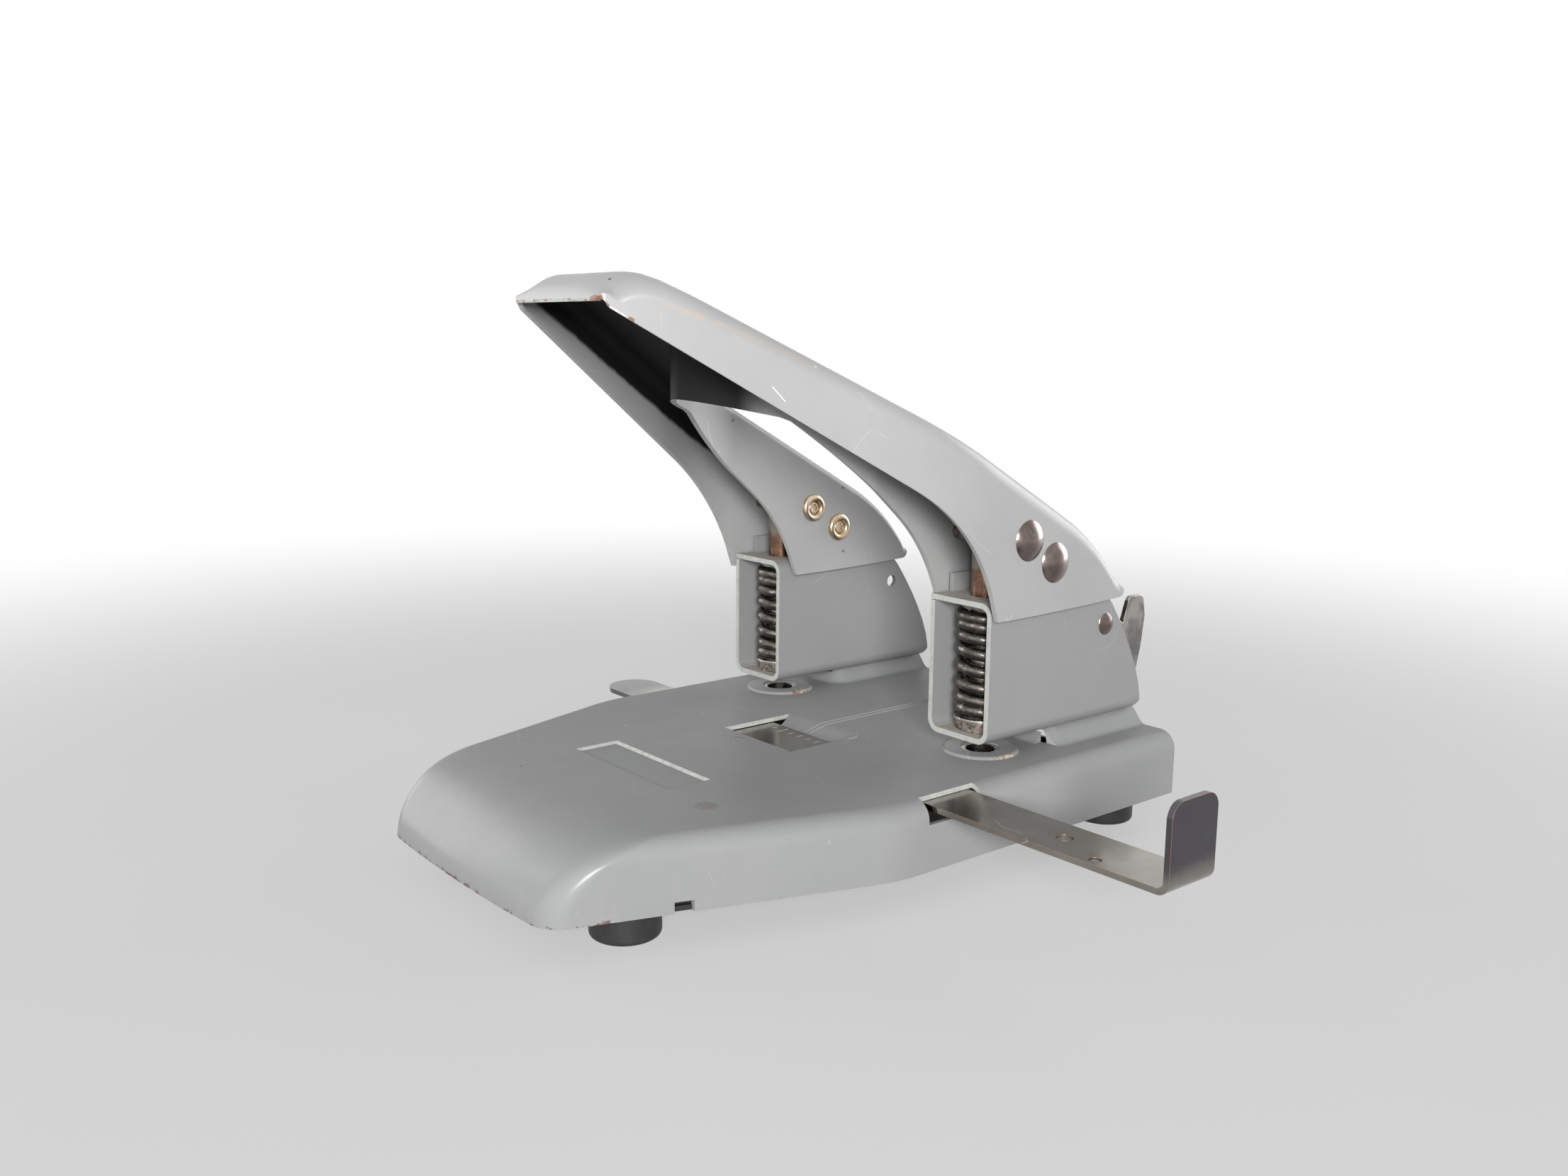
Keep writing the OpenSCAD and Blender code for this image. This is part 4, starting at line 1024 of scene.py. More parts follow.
class Shape(Tree):
    """A geometry node tree with named number inputs."""

    def __init__(self, name, *inputs):
        super().__init__(bpy.data.node_groups.new(name, "GeometryNodeTree"))
        face = self.tree.interface
        face.new_socket("Geometry", in_out="INPUT", socket_type="NodeSocketGeometry")
        for label in inputs:
            face.new_socket(label, in_out="INPUT", socket_type="NodeSocketFloat")
        face.new_socket("Geometry", in_out="OUTPUT", socket_type="NodeSocketGeometry")
        self.entry = self.tree.nodes.new("NodeGroupInput")

    def given(self, label):
        return Value(self, self.entry.outputs[label])

    def close(self, geometry, material):
        real = self.node("GeometryNodeRealizeInstances", None, {"Geometry": geometry})
        shown = self.node("GeometryNodeSetMaterial", None, {"Geometry": real, "Material": material})
        end = self.tree.nodes.new("NodeGroupOutput")
        self.tree.links.new(shown.socket, end.inputs[0])
        return self

    def grow(self, name, seed, values):
        """Runs the tree on a seed mesh and gives an object with a plain mesh."""
        obj = add_object(name, seed)
        modifier = obj.modifiers.new(self.tree.name, "NODES")
        modifier.node_group = self.tree
        for item in self.tree.interface.items_tree:
            if item.in_out == "INPUT" and item.name in values:
                modifier[item.identifier] = values[item.name]
        return plain(obj)


def coil_shape(material):
    """A left-handed compression spring whose end turns close up."""
    shape = Shape("Coil", "Radius", "Height", "Turns", "Wire")
    height = shape.given("Height")
    spiral = shape.node("GeometryNodeCurveSpiral", None, {
        "Resolution": 40, "Rotations": shape.given("Turns"), "Start Radius": shape.given("Radius"),
        "End Radius": shape.given("Radius"), "Height": height, "Reverse": False})
    along = shape.node("GeometryNodeSplineParameter", output="Factor")
    lift = shape.node("ShaderNodeFloatCurve", {"stops": [(0, 0), (0.08, 0.05), (0.86, 0.925), (1, 1)]},
                      {"Value": along})
    place = shape.node("GeometryNodeInputPosition")
    parts = shape.node("ShaderNodeSeparateXYZ", None, {"Vector": place}, "X")
    across = Value(shape, parts.socket.node.outputs["Y"])
    raised = shape.node("ShaderNodeCombineXYZ", None, {"X": parts, "Y": across, "Z": lift * height})
    line = shape.node("GeometryNodeSetPosition", None, {"Geometry": spiral, "Position": raised})
    wire = shape.node("GeometryNodeCurvePrimitiveCircle", None,
                      {"Resolution": 16, "Radius": shape.given("Wire") / 2})
    tube = shape.node("GeometryNodeCurveToMesh", None,
                      {"Curve": line, "Profile Curve": wire, "Fill Caps": True})
    return shape.close(tube, material)


def rivet_shape(name, part, material):
    """Copies of a round part on points, each turned along the point's normal."""
    shape = Shape(name, "Size")
    normal = shape.node("GeometryNodeInputNamedAttribute", {"data_type": "FLOAT_VECTOR"}, {"Name": "out"})
    spin = shape.node("FunctionNodeAlignRotationToVector", {"axis": "Z"}, {"Vector": normal})
    item = shape.node("GeometryNodeObjectInfo", None, {"Object": part}, "Geometry")
    copies = shape.node("GeometryNodeInstanceOnPoints", None, {
        "Points": shape.given("Geometry"), "Instance": item, "Rotation": spin, "Scale": shape.given("Size")})
    return shape.close(copies, material)


def tick_shape(material):
    """A row of engraved marks along X, with each fifth one longer."""
    shape = Shape("Marks", "Pitch", "Width", "Length")
    points = shape.node("GeometryNodeMeshLine", {"mode": "OFFSET"}, {"Count": settings("fittings").ticks})
    index = shape.node("GeometryNodeInputIndex")
    spread = shape.node("ShaderNodeCombineXYZ", None, {"X": index * shape.given("Pitch")})
    row = shape.node("GeometryNodeSetPosition", None, {"Geometry": points, "Position": spread})
    every = index.math("MODULO", index, 5.0)
    tall = every.math("LESS_THAN", every, 0.5) * 0.7 + 0.6
    width = shape.given("Width")
    box_size = shape.node("ShaderNodeCombineXYZ", None,
                          {"X": width, "Y": shape.given("Length"), "Z": width * 0.25})
    mark = shape.node("GeometryNodeMeshCube", None, {"Size": box_size})
    stretch = shape.node("ShaderNodeCombineXYZ", None, {"X": 1.0, "Y": tall, "Z": 1.0})
    copies = shape.node("GeometryNodeInstanceOnPoints", None,
                        {"Points": row, "Instance": mark, "Scale": stretch})
    return shape.close(copies, material)


def points_mesh(name, points, outs):
    """A mesh of loose points with a direction each."""
    mesh = bpy.data.meshes.new(name)
    mesh.from_pydata(points, [], [])
    layer = mesh.attributes.new("out", "FLOAT_VECTOR", "POINT")
    for item, out in zip(layer.data, outs):
        item.vector = out
    return mesh


# The base

class BaseForm:
    """Outlines and surfaces of the pressed base."""

    def __init__(self):
        self.s = sizes("base")
        self.top = DIE_HIGH.z - self.s["lip"]
        self.h = self.top - RIM_Z
        self.taper = (HALF_W - self.s["nose_width"] / 2) / (BASE_FRONT - self.s["taper_start"])

    def outline(self, side, front, rear):
        """The plan line at one level, from the rear right corner round the nose to the rear left one."""
        w = HALF_W - side
        y = BASE_FRONT - front
        nose = w - self.taper * (y - self.s["taper_start"])
        bow = self.s["nose_bow"]
        right = [(w, rear), (w, -self.s["taper_start"]), (nose, -y + bow), (nose / 2, -y + bow / 4)]
        left = [(-x, v) for x, v in right[::-1]]
        corner = self.s["nose_corner"]
        flat = 160
        soft = 30
        radii = [0, soft, corner, flat, flat, flat, corner, soft, 0]
        return rounded(right + [(0, -y)] + left, radii, 10)

    def form(self, o, rear, name):
        """The closed form moved in by o, and open at the rim where o is above zero."""
        bend = self.s["bend"] - o
        h = self.h - o
        run = self.s["nose_run"] - o
        rings = []
        steps = 24
        if o > 0:
            rings.append([(x, y, RIM_Z - o) for x, y in self.outline(o, o, rear)])
        for k in range(steps + 1):
            a = math.pi / 2 * k / steps
            up = h * math.sin(a)
            rise = max(0, up - (h - bend))
            side = o + bend - math.sqrt(max(0, bend * bend - rise * rise))
            line = self.outline(side, o + run * (1 - math.cos(a)), rear)
            rings.append([(x, y, RIM_Z + up) for x, y in line])
        return ring_solid(rings, name)

    def seat(self, side, o, front, front_slope):
        """A raised seat with eased slopes and round front corners, moved in by o."""
        s = self.s
        rise = SEAT_Z - self.top
        steps = 14
        rings = []
        for k in range(-1, steps + 1):
            t = max(0, k) / steps
            inset = o + t * s["seat_slope"]
            x0 = AXIS_X - s["seat_inner"] + inset
            x1 = AXIS_X + s["seat_outer"] - inset
            y = front + t * front_slope
            radius = max(0.5, s["seat_corner"] - inset)
            plan = rounded([(x0, BASE_REAR + o), (x0, y), (x1, y), (x1, BASE_REAR + o)],
                           [0, radius, radius, 0], 8)
            z = self.top + 0.01 + rise * (0.5 - 0.5 * math.cos(math.pi * t)) - o
            z -= 1.4 * s["sheet"] if k < 0 else 0.01 * t
            rings.append([(side * px, py, z) for px, py in plan])
        return ring_solid(rings)

    def mouth(self, side):
        """The cut that opens a seat's outer front corner."""
        s = self.s
        plan = rectangle(AXIS_X + s["mouth_inner"], s["seat_front"] - 1,
                         AXIS_X + s["seat_outer"] + 1, s["seat_mouth"])
        return prism([(side * x, y) for x, y in plan], self.top + 0.012, SEAT_Z + 1)

    def panel(self):
        """The shallow pocket of the sunk panel, with sloped walls."""
        s = self.s
        x = s["panel_left"]
        y = -s["panel_rear"] - s["panel_length"]
        rings = []
        for up in (0.3, -s["panel_depth"]):
            inset = -up / s["panel_depth"] * s["panel_wall"]
            plan = rectangle(x + inset, y + inset,
                             x + s["panel_width"] - inset, y + s["panel_length"] - inset)
            rings.append([(px, py, self.top + up) for px, py in plan])
        return ring_solid(rings)

    def dish(self, y):
        """How far the tongue behind the window is pressed down at a place along Y."""
        front = self.tongue_front()
        t = min(1, max(0, (y - front) / self.s["dish_length"]))
        return self.s["dish_depth"] * (0.5 + 0.5 * math.cos(math.pi * t))

    def window(self):
        """Left, front, right and rear side of the window."""
        x = self.s["window_left"]
        y = -self.s["window_middle"] - self.s["window_length"] / 2
        return x, y, x + self.s["window_width"], y + self.s["window_length"]

    def tongue_front(self):
        return BAR_HIGH.y + self.s["tongue_gap"]

    def tongue(self):
        """The strip of sheet behind the window, pressed down to the guide bar, free at its left side."""
        x0, _, x1, y1 = self.window()
        front = self.tongue_front()
        rings = []
        steps = 16
        for k in range(steps + 2):
            y = front + self.s["dish_length"] * k / steps
            z = self.top - self.dish(y) - 0.004
            slant = max(0, (y1 - y) / (y1 - front)) * self.s["tongue_slant"]
            overlap = 0.2 if y > y1 else -0.05
            left = x0 + slant - overlap
            right = x1 + overlap
            low = z - self.s["sheet"]
            rings.append([(left, y, low), (right, y, low), (right, y, z), (left, y, z)])
        return ring_solid(rings)

    def bead(self, points, width, height):
        """A raised line with a flat top and sloped sides along plan points."""
        rings = []
        x0, _, x1, _ = self.window()
        last = len(points) - 1
        for i, (x, y) in enumerate(points):
            before = Vector(points[max(0, i - 1)])
            after = Vector(points[min(last, i + 1)])
            ahead = (after - before).normalized()
            side = Vector((ahead.y, -ahead.x, 0))
            lift = height if 0 < i < last else 0.02
            z = self.top - (self.dish(y) if x0 < x < x1 and y > BAR_HIGH.y else 0)
            spot = Vector((x, y, z))
            up = Vector((0, 0, 1))
            rings.append([spot + side * width / 2 - up * 0.3, spot - side * width / 2 - up * 0.3,
                          spot - side * width / 2, spot - side * (width / 2 - height) + up * lift,
                          spot + side * (width / 2 - height) + up * lift, spot + side * width / 2])
        return ring_solid(rings)


def straight(start, end, steps):
    return [(start[0] + (end[0] - start[0]) * i / steps, start[1] + (end[1] - start[1]) * i / steps)
            for i in range(steps + 1)]


def cut_faces(obj, boxes, index, upright=0.5):
    """Gives a material to the steep faces that a cut left inside any of the boxes."""
    for face in obj.data.polygons:
        c = face.center
        for x0, y0, z0, x1, y1, z1 in boxes:
            if x0 < c.x < x1 and y0 < c.y < y1 and z0 < c.z < z1 and abs(face.normal.z) < upright:
                face.material_index = index


def build_base():
    """The base with its raised seats, cuts, sunk panel, tongue and ridges, then the dies and the straps."""
    base = BaseForm()
    s = base.s
    top = base.top
    obj = base.form(0, BASE_REAR, "base_pan_skin")
    for side in (-1, 1):
        combine(obj, base.seat(side, 0, s["seat_front"], s["seat_slope"]), "UNION")
    combine(obj, base.form(s["sheet"], BASE_REAR + s["sheet"], "inside"), "DIFFERENCE")
    notch_in = HALF_W - s["bend"] + 0.6
    notch_half = BAR_W / 2 + s["notch_gap"]
    notch_low = BAR_LOW.z - 2.4
    boxes = [(-HALF_W - 1, BASE_REAR - 0.2, RIM_Z - 1, HALF_W + 1, BASE_REAR + 0.2, SEAT_Z + 1)]
    for side in (-1, 1):
        combine(obj, base.seat(side, s["sheet"], s["seat_mouth"] - 0.4, 0), "DIFFERENCE")
        combine(obj, base.mouth(side), "DIFFERENCE")
        die_hole = circle(side * AXIS_X, 0, DIE_R - s["die_flange"] + 0.02)
        combine(obj, prism(die_hole, RIM_Z, top + 2), "DIFFERENCE")
        outer = side * (HALF_W + 2)
        x0, x1 = sorted((side * notch_in, outer))
        notch = rectangle(x0, BAR_Y - notch_half, x1, BAR_Y + notch_half)
        combine(obj, prism(notch, notch_low, top + 2), "DIFFERENCE")
        boxes.append((x0 - 0.1, BAR_Y - notch_half - 0.1, notch_low - 0.1,
                      x1, BAR_Y + notch_half + 0.1, top + 1))
        eye = sorted((side * (AXIS_X + s["mouth_inner"] - 0.2), side * (AXIS_X + s["seat_outer"])))
        boxes.append((eye[0], s["seat_mouth"] - 0.05, top, eye[1], s["seat_mouth"] + 0.05, SEAT_Z))
        x0, x1 = sorted((side * 20, outer))
        lug = -s["lug_place"]
        half = s["lug_notch"] / 2
        combine(obj, prism(rectangle(x0, lug - half, x1, lug + half), RIM_Z - 2, RIM_Z + s["lug_height"]),
                "DIFFERENCE")
    x0, y0, x1, y1 = base.window()
    combine(obj, prism(rectangle(x0, y0, x1, y1), top - 2, top + 2), "DIFFERENCE")
    boxes.append((x0 - 0.1, y0 - 0.1, top - 2, x1 + 0.1, y1 + 0.1, top + 1))
    rear = base.tongue_front() + s["dish_length"]
    combine(obj, prism(rectangle(x0, y1 - 0.1, x1, rear), top - 2, top + 2), "DIFFERENCE")
    combine(obj, base.panel(), "DIFFERENCE")
    give_materials(obj, enamel_base(), enamel_edge(), sheet_edge())
    cut_faces(obj, boxes, 2)
    side = s["panel_left"]
    rear = -s["panel_rear"]
    cut_faces(obj, [(side - 0.1, rear - s["panel_length"] - 0.1, top - s["panel_depth"] - 0.1,
                     side + s["panel_width"] + 0.1, rear + 0.1, top - 0.05)], 2, 0.95)
    softened(obj, 0.14, math.radians(48))
    combine(obj, base.tongue(), "UNION")
    for side in (-1, 1):
        x = s["bead_place"] + side * s["bead_gap"] / 2
        line = straight((x, base.tongue_front() + 0.4), (x, BASE_REAR - 1), 90)
        combine(obj, base.bead(line, s["bead_width"], s["bead_height"]), "UNION")
    wrinkle = straight((x1 + 0.55, y1 - 3.9), (x1 + 0.2, y1 + 0.5), 6)
    combine(obj, base.bead(wrinkle, 0.9, 0.3), "UNION")
    smooth(obj, math.radians(40))
    hand_over(obj, "base", "enamel", "base_pan")
    for side in ("left", "right"):
        build_die(side)
        dress("bar_keeper_" + side, "bar_strap_" + side, "base", "dark_steel",
              tool_steel(), bright_edge(), 0.12)


def build_die(side):
    """A painted die ring with a sloped rim and a ground bore, whose wall is dark with painted shade."""
    low, high = span("die_" + side)
    s = sizes("base")
    top = high.z + 0.25
    seat = high.z - s["lip"]
    bore = s["die_bore"]
    body = DIE_R - s["die_flange"]
    profile = [(bore, low.z), (body, low.z), (body, seat - 0.4), (DIE_R, seat - 0.4), (DIE_R, seat + 0.02),
               (DIE_R - 0.28, top - 0.2), (DIE_R - 0.5, top - 0.06), (DIE_R - 0.85, top), (bore + 1.3, top),
               (bore + 1.1, top - 0.1), (bore + 0.95, top - 0.4), (bore + 0.15, top - 0.42),
               (bore, top - 0.55)]
    obj = object_of(lathe(profile, 72, True), "die_ring_" + side)
    centre = Vector(((low.x + high.x) / 2, (low.y + high.y) / 2, 0))
    obj.data.transform(Matrix.Translation(centre))
    give_materials(obj, die_enamel(), washer_steel(), spring_steel())
    # Painted shade: the bore's wall takes the dark spring steel to stand for the shade inside the hole; the
    # pale zinc band at its top edge is the worn cutting edge.
    for face in obj.data.polygons:
        away = (face.center.xy - centre.xy).length
        if away < bore + 0.9:
            face.material_index = 1 if away > bore + 0.02 else 2
    smooth(obj)
    hand_over(obj, "base", "enamel", "die_" + side)


# The lever

class LeverForm:
    """The wishbone lever as a strip of sheet between the gap and the outline."""

    def __init__(self):
        s = self.s = sizes("lever")
        self.front = -LEVER_LOW.y
        self.low = LEVER_LOW.z
        self.grade = math.tan(s["slope"])
        self.taper = (LEVER_HALF - s["grip_width"] / 2) / (self.front - s["arm_start"])
        self.nose_y = -self.front + s["nose"] * math.sin(s["nose_turn"])
        self.nose_from = self.nose_y + s["nose"] * math.sin(s["slope"])
        self.nose_z = self.roof(self.nose_from) - s["nose"] * math.cos(s["slope"])
        self.tail_from = PIVOT.y + s["tail_start"]
        self.tail_y = self.tail_from - s["tail_radius"] * math.sin(s["slope"])
        self.tail_z = self.roof(self.tail_from) - s["tail_radius"] * math.cos(s["slope"])
        self.lip = self.nose_z + s["nose"] * math.cos(s["nose_turn"])
        tip = s["tip"]
        self.tip_z = self.low + s["foot_rise"] + tip
        self.tip_y = self.tail_y + math.sqrt((s["tail_radius"] - tip) ** 2 - (self.tip_z - self.tail_z) ** 2)
        self.rear = self.tip_y + tip - 0.06

    def roof(self, y):
        return PIVOT.z + self.s["roof_rise"] - self.grade * (y - PIVOT.y)

    def crown(self, y):
        """Height of the top: the rounded front, the straight slope, the curved tail and its tip."""
        s = self.s
        if y < self.nose_from:
            return self.nose_z + math.sqrt(max(0, s["nose"] ** 2 - (y - self.nose_y) ** 2))
        if y < self.tail_from:
            return self.roof(y)
        height = self.tail_z + math.sqrt(s["tail_radius"] ** 2 - (y - self.tail_y) ** 2)
        if y > self.tip_y:
            height = min(height, self.tip_z + self.tip_rise(y))
        return height

    def tip_rise(self, y):
        return math.sqrt(max(0.0, self.s["tip"] ** 2 - (y - self.tip_y) ** 2))

    def half(self, y):
        """Half width at a place along Y: tapered, blended, then parallel."""
        d = y + self.s["arm_start"]
        b = self.s["arm_blend"]
        if d > b:
            return LEVER_HALF
        if d < -b:
            return LEVER_HALF + self.taper * d
        return LEVER_HALF - self.taper * (d - b) ** 2 / (4 * b)

    def steep_edge(self, y, knee_y, knee_z, slope, end_slope):
        """Lower edge behind a knee: an arc that steepens to the flanges' foot, then the foot and the tip."""
        radius = (knee_z - self.low) / (math.cos(slope) - math.cos(end_slope))
        sine = math.sin(slope) + (y - knee_y) / radius
        if sine < math.sin(end_slope):
            return knee_z - radius * (math.cos(slope) - math.sqrt(1 - sine * sine))
        if y > self.tip_y:
            return self.tip_z - self.tip_rise(y)
        start = self.s["foot_start"]
        share = max(0, (y + start) / (self.tip_y + start))
        return self.low + self.s["foot_rise"] * share * share

    def outer_edge(self, y):
        s = self.s
        start = self.lip - s["edge_drop"]
        knee_z = start - math.tan(s["edge_slope"]) * (self.front - s["edge_knee"])
        if y < -s["edge_knee"]:
            return start - math.tan(s["edge_slope"]) * (y + self.front)
        return self.steep_edge(y, -s["edge_knee"], knee_z, s["edge_slope"], s["edge_end"])

    def inner_edge(self, y):
        s = self.s
        slope = s["inner_slope"]
        knee_z = self.low + s["inner_rise"]
        lip_z = knee_z + math.tan(slope) * (s["inner_lip"] - s["inner_knee"])
        if y < -s["inner_lip"]:
            return lip_z + math.tan(s["lip_slope"]) * (-s["inner_lip"] - y)
        if y < -s["inner_knee"]:
            return knee_z + math.tan(slope) * (-s["inner_knee"] - y)
        return self.steep_edge(y, -s["inner_knee"], knee_z, slope, s["inner_end"])

    def lean(self, y):
        """Change of the half width along Y."""
        d = y + self.s["arm_start"]
        b = self.s["arm_blend"]
        return self.taper * min(1, max(0, (b - d) / (2 * b)))

    def top(self, x, y):
        """Height of the outer surface over a plan point, rounded towards the sides."""
        wide, high = self.side_bend(y)
        inward = (self.half(y) - x) / math.hypot(1, self.lean(y))
        out = min(1, max(0, 1 - inward / wide))
        return self.crown(y) - high * (1 - math.sqrt(1 - out * out))

    def rim(self, y):
        """Height of the lower edge: level along the front, then down into the outer flanges' edge."""
        return self.lip + (self.outer_edge(y) - self.lip) * eased((y + self.front - 0.3) / 1.7)

    def bend_start(self, y):
        """Plan point where the top starts to bend down to the side at a place along Y."""
        return Vector((self.half(y), y)) + Vector((-1, self.lean(y))).normalized() * self.side_bend(y)[0]

    def stations(self):
        """Pairs of plan points for each section, on the outline and where the bend starts, and the gap."""
        s = self.s
        front = -self.front
        side_y = front + 8
        last = self.bend_start(side_y)
        first = Vector((0.8 * last.x, self.nose_from))
        plan = [(0, front), (self.half(front), front), (self.half(side_y), side_y)]
        line = rounded(plan, [0, s["corner"], 0], 6)
        arc = [Vector(p) for p in line[1:-1]]
        n = 12
        outer = [(Vector((arc[0].x * i / n, front)), Vector((first.x * i / n, first.y))) for i in range(n)]
        n = 16
        sides = [arc[-1].lerp(Vector(line[-1]), (i / n) ** 1.4) for i in range(1, n)]
        corner = arc + sides
        outer += [(p, first.lerp(last, i / len(corner))) for i, p in enumerate(corner)]
        self.cornered = len(outer)
        outer.append((Vector(line[-1]), last))
        stops = [(side_y, -30, 18), (-30, -14, 10), (-14, -3, 14), (-3, self.tail_from, 8),
                 (self.tail_from, self.tip_y, 10), (self.tip_y, self.rear, 8)]
        for low, high, n in stops:
            for y in (low + (high - low) * (i + 1) / n for i in range(n)):
                outer.append((Vector((self.half(y), y)), self.bend_start(y)))
        turn_start = 14.0
        split_rear = -s["arm_start"] - s["arm_blend"] / 2
        run = s["split_front"] + split_rear
        inner = []
        for i, (point, _) in enumerate(outer):
            a = turn_start * min(1, i / self.cornered)
            if i > self.cornered:
                a += (90 - turn_start) * min(1, (point.y - side_y) / (split_rear - side_y))
            if point.y > split_rear:
                inner.append((SPLIT_HALF, point.y))
            else:
                a = math.radians(a)
                inner.append((SPLIT_HALF * math.sin(a) ** (4 / 3),
                              -s["split_front"] + run * (1 - math.cos(a) ** (4 / 3))))
        return outer, inner

    def side_bend(self, y):
        """Width and height of the outer bend: widest at the front, and no more than the flange allows."""
        s = self.s
        wide = s["arch"] + (s["bend"] - s["arch"]) * eased((y + self.front - 4) / s["arch_length"])
        if y > 0:
            room = max(0.1, (self.crown(y) - self.outer_edge(y)) * 0.8)
            return min(wide, room), min(s["bend"], room)
        room = max(0.02, self.crown(y) - self.rim(y) - s["edge"])
        return wide, min(s["bend"] * eased((y + self.front) / s["corner_rise"]), room)

    def rows(self):
        """Sections of the right half, each from the gap's lower edge to the outer lower edge."""
        s = self.s
        outer, inner = self.stations()
        sections = []

        def add(section, p):
            section.append(Vector((p.x, p.y, self.top(p.x, p.y))))

        for i, (target, start) in enumerate(outer):
            ix, iy = inner[i]
            before = Vector(inner[max(0, i - 1)])
            after = Vector(inner[min(len(inner) - 1, i + 1)])
            ahead = (after - before).normalized()
            metal = Vector((ahead.y, -ahead.x)) if i else Vector((0, -1))
            foot = self.inner_edge(iy)
            bend = min(s["inner_bend"], max(0.1, (self.crown(iy) - foot) * 0.8))
            head = self.crown(iy) - bend
            section = [Vector((ix, iy, foot + (head - foot) * k / 6)) for k in range(6)]
            for k in range(6):
                t = math.pi / 2 * k / 5
                p = Vector((ix, iy)) + metal * bend * (1 - math.cos(t))
                section.append(Vector((p.x, p.y, self.crown(p.y) - bend * (1 - math.sin(t)))))
            rise = section[-1].xy
            for k in range(1, 14):
                add(section, rise.lerp(start, k / 14))
            for k in range(15):
                add(section, start.lerp(target, math.sin(math.pi / 2 * k / 14)))
            end = section[-1].copy()
            foot = min(self.rim(end.y), end.z - (s["edge"] if i < self.cornered else 0.02))
            section += [Vector((end.x, end.y, end.z + (foot - end.z) * k / 6)) for k in range(1, 7)]
            sections.append(section)
        return sections


def build_lever():
    """The lever's sheet, from its right half and that half mirrored, and its rivets."""
    lever = LeverForm()
    right = lever.rows()
    left = [[Vector((-p.x, p.y, p.z)) for p in section] for section in right[:0:-1]]
    bm = bmesh.new()
    grid = [[bm.verts.new(p) for p in section] for section in left + right]
    for one, two in zip(grid, grid[1:]):
        for k in range(len(one) - 1):
            bm.faces.new((one[k], one[k + 1], two[k + 1], two[k]))
    bmesh.ops.remove_doubles(bm, verts=bm.verts, dist=0.003)
    bmesh.ops.recalc_face_normals(bm, faces=bm.faces)
    top = max(bm.faces, key=lambda f: f.calc_center_median().z)
    if top.normal.z < 0:
        bmesh.ops.reverse_faces(bm, faces=bm.faces)
    obj = object_of(bm, "lever_skin")
    give_materials(obj, enamel_lever(), enamel_edge(), enamel_inside())
    wall = obj.modifiers.new("sheet", "SOLIDIFY")
    wall.thickness = lever.s["sheet"]
    wall.offset = -1
    wall.use_quality_normals = True
    wall.material_offset = 2
    wall.material_offset_rim = 1
    plain(obj)
    softened(obj, 0.18, math.radians(55))
    smooth(obj, math.radians(44))
    hand_over(obj, "lever_arm", "enamel", "lever")
    build_arm_rivets()


def build_arm_rivets():
    """Domed heads outside the arms and rolled eyelets inside, on both rivets of each arm."""
    f = sizes("fittings")
    head = f["rivet_head"] / 2
    dome = f["rivet_dome"]
    ball = (head * head + dome * dome) / (2 * dome)
    reach = math.asin(head / ball)
    steps = 10
    cap = [(ball * math.sin(reach * k / steps), dome - ball + ball * math.cos(reach * k / steps))
           for k in range(steps, -1, -1)]
    profile = [(0, -0.6), (head - 0.35, -0.6), (head, -0.15)] + cap[:-1] + [(0, dome)]
    roll = f["eyelet_roll"]
    outer = f["eyelet"] / 2
    mouth = outer - 2 * roll
    ring = [(outer - roll + roll * math.cos(a), 0.25 + roll * math.sin(a))
            for a in (math.pi * k / 10 for k in range(11))]
    tube = [(mouth * share, height) for share, height in
            ((0.92, 0.14), (0.84, 0.38), (0.72, 0.52), (0.58, 0.46), (0.5, 0.12))]
    eyelet = [(0, -0.8), (outer - 0.4, -0.8), (outer, -0.3)] + ring + tube + [(0, 0.05)]
    places = [(rivet, side) for rivet in (HINGE_RIVET, DRIVE_RIVET) for side in (-1, 1)]
    shells = []
    for name, outline, look, face in (("arm_rivet_heads", profile, rivet_head(), 1),
                                      ("arm_rivet_eyelets", eyelet, brass(), -1)):
        part = object_of(lathe(outline), name + "_part")
        # Painted highlight: 'rub' goes from 0 at the front of each head to 1 at its rear, and lightens the
        # domed heads' finish there.
        rub = part.data.attributes.new("rub", "FLOAT", "POINT")
        for item, vert in zip(rub.data, part.data.vertices):
            item.value = 0.5 + 0.5 * vert.co.y / head
        points = []
        outs = []
        for rivet, side in places:
            spot = TO_PUNCH @ rivet
            x = AXIS_X + face * ARM_W / 2
            points.append((side * x, spot.y, spot.z))
            outs.append((side * face, 0, 0))
        shape = rivet_shape(name, part, look)
        obj = shape.grow(name, points_mesh(name, points, outs), {"Size": 1.0})
        bpy.data.objects.remove(part)
        smooth(obj, math.radians(50))
        shells.append(obj)
    shanks = bmesh.new()
    for rivet, side in places:
        spot = TO_PUNCH @ rivet
        rod = bmesh.ops.create_cone(shanks, cap_ends=True, segments=40, radius1=2, radius2=2, depth=ARM_W - 1)
        turned = Matrix.Translation((side * AXIS_X, spot.y, spot.z)) @ Matrix.Rotation(math.pi / 2, 4, "Y")
        bmesh.ops.transform(shanks, matrix=turned, verts=rod["verts"])
    shank = object_of(shanks, "arm_rivet_shanks")
    give_materials(shank, tool_steel(), bright_edge())
    softened(shank, 0.2)
    smooth(shank)
    nodes = [kind + "_rivet_" + side for kind in ("pivot", "drive") for side in ("left", "right")]
    for shell in shells + [shank]:
        hand_over(shell, "lever_arm", "rivet_brass", *nodes)


# The frames with their latch

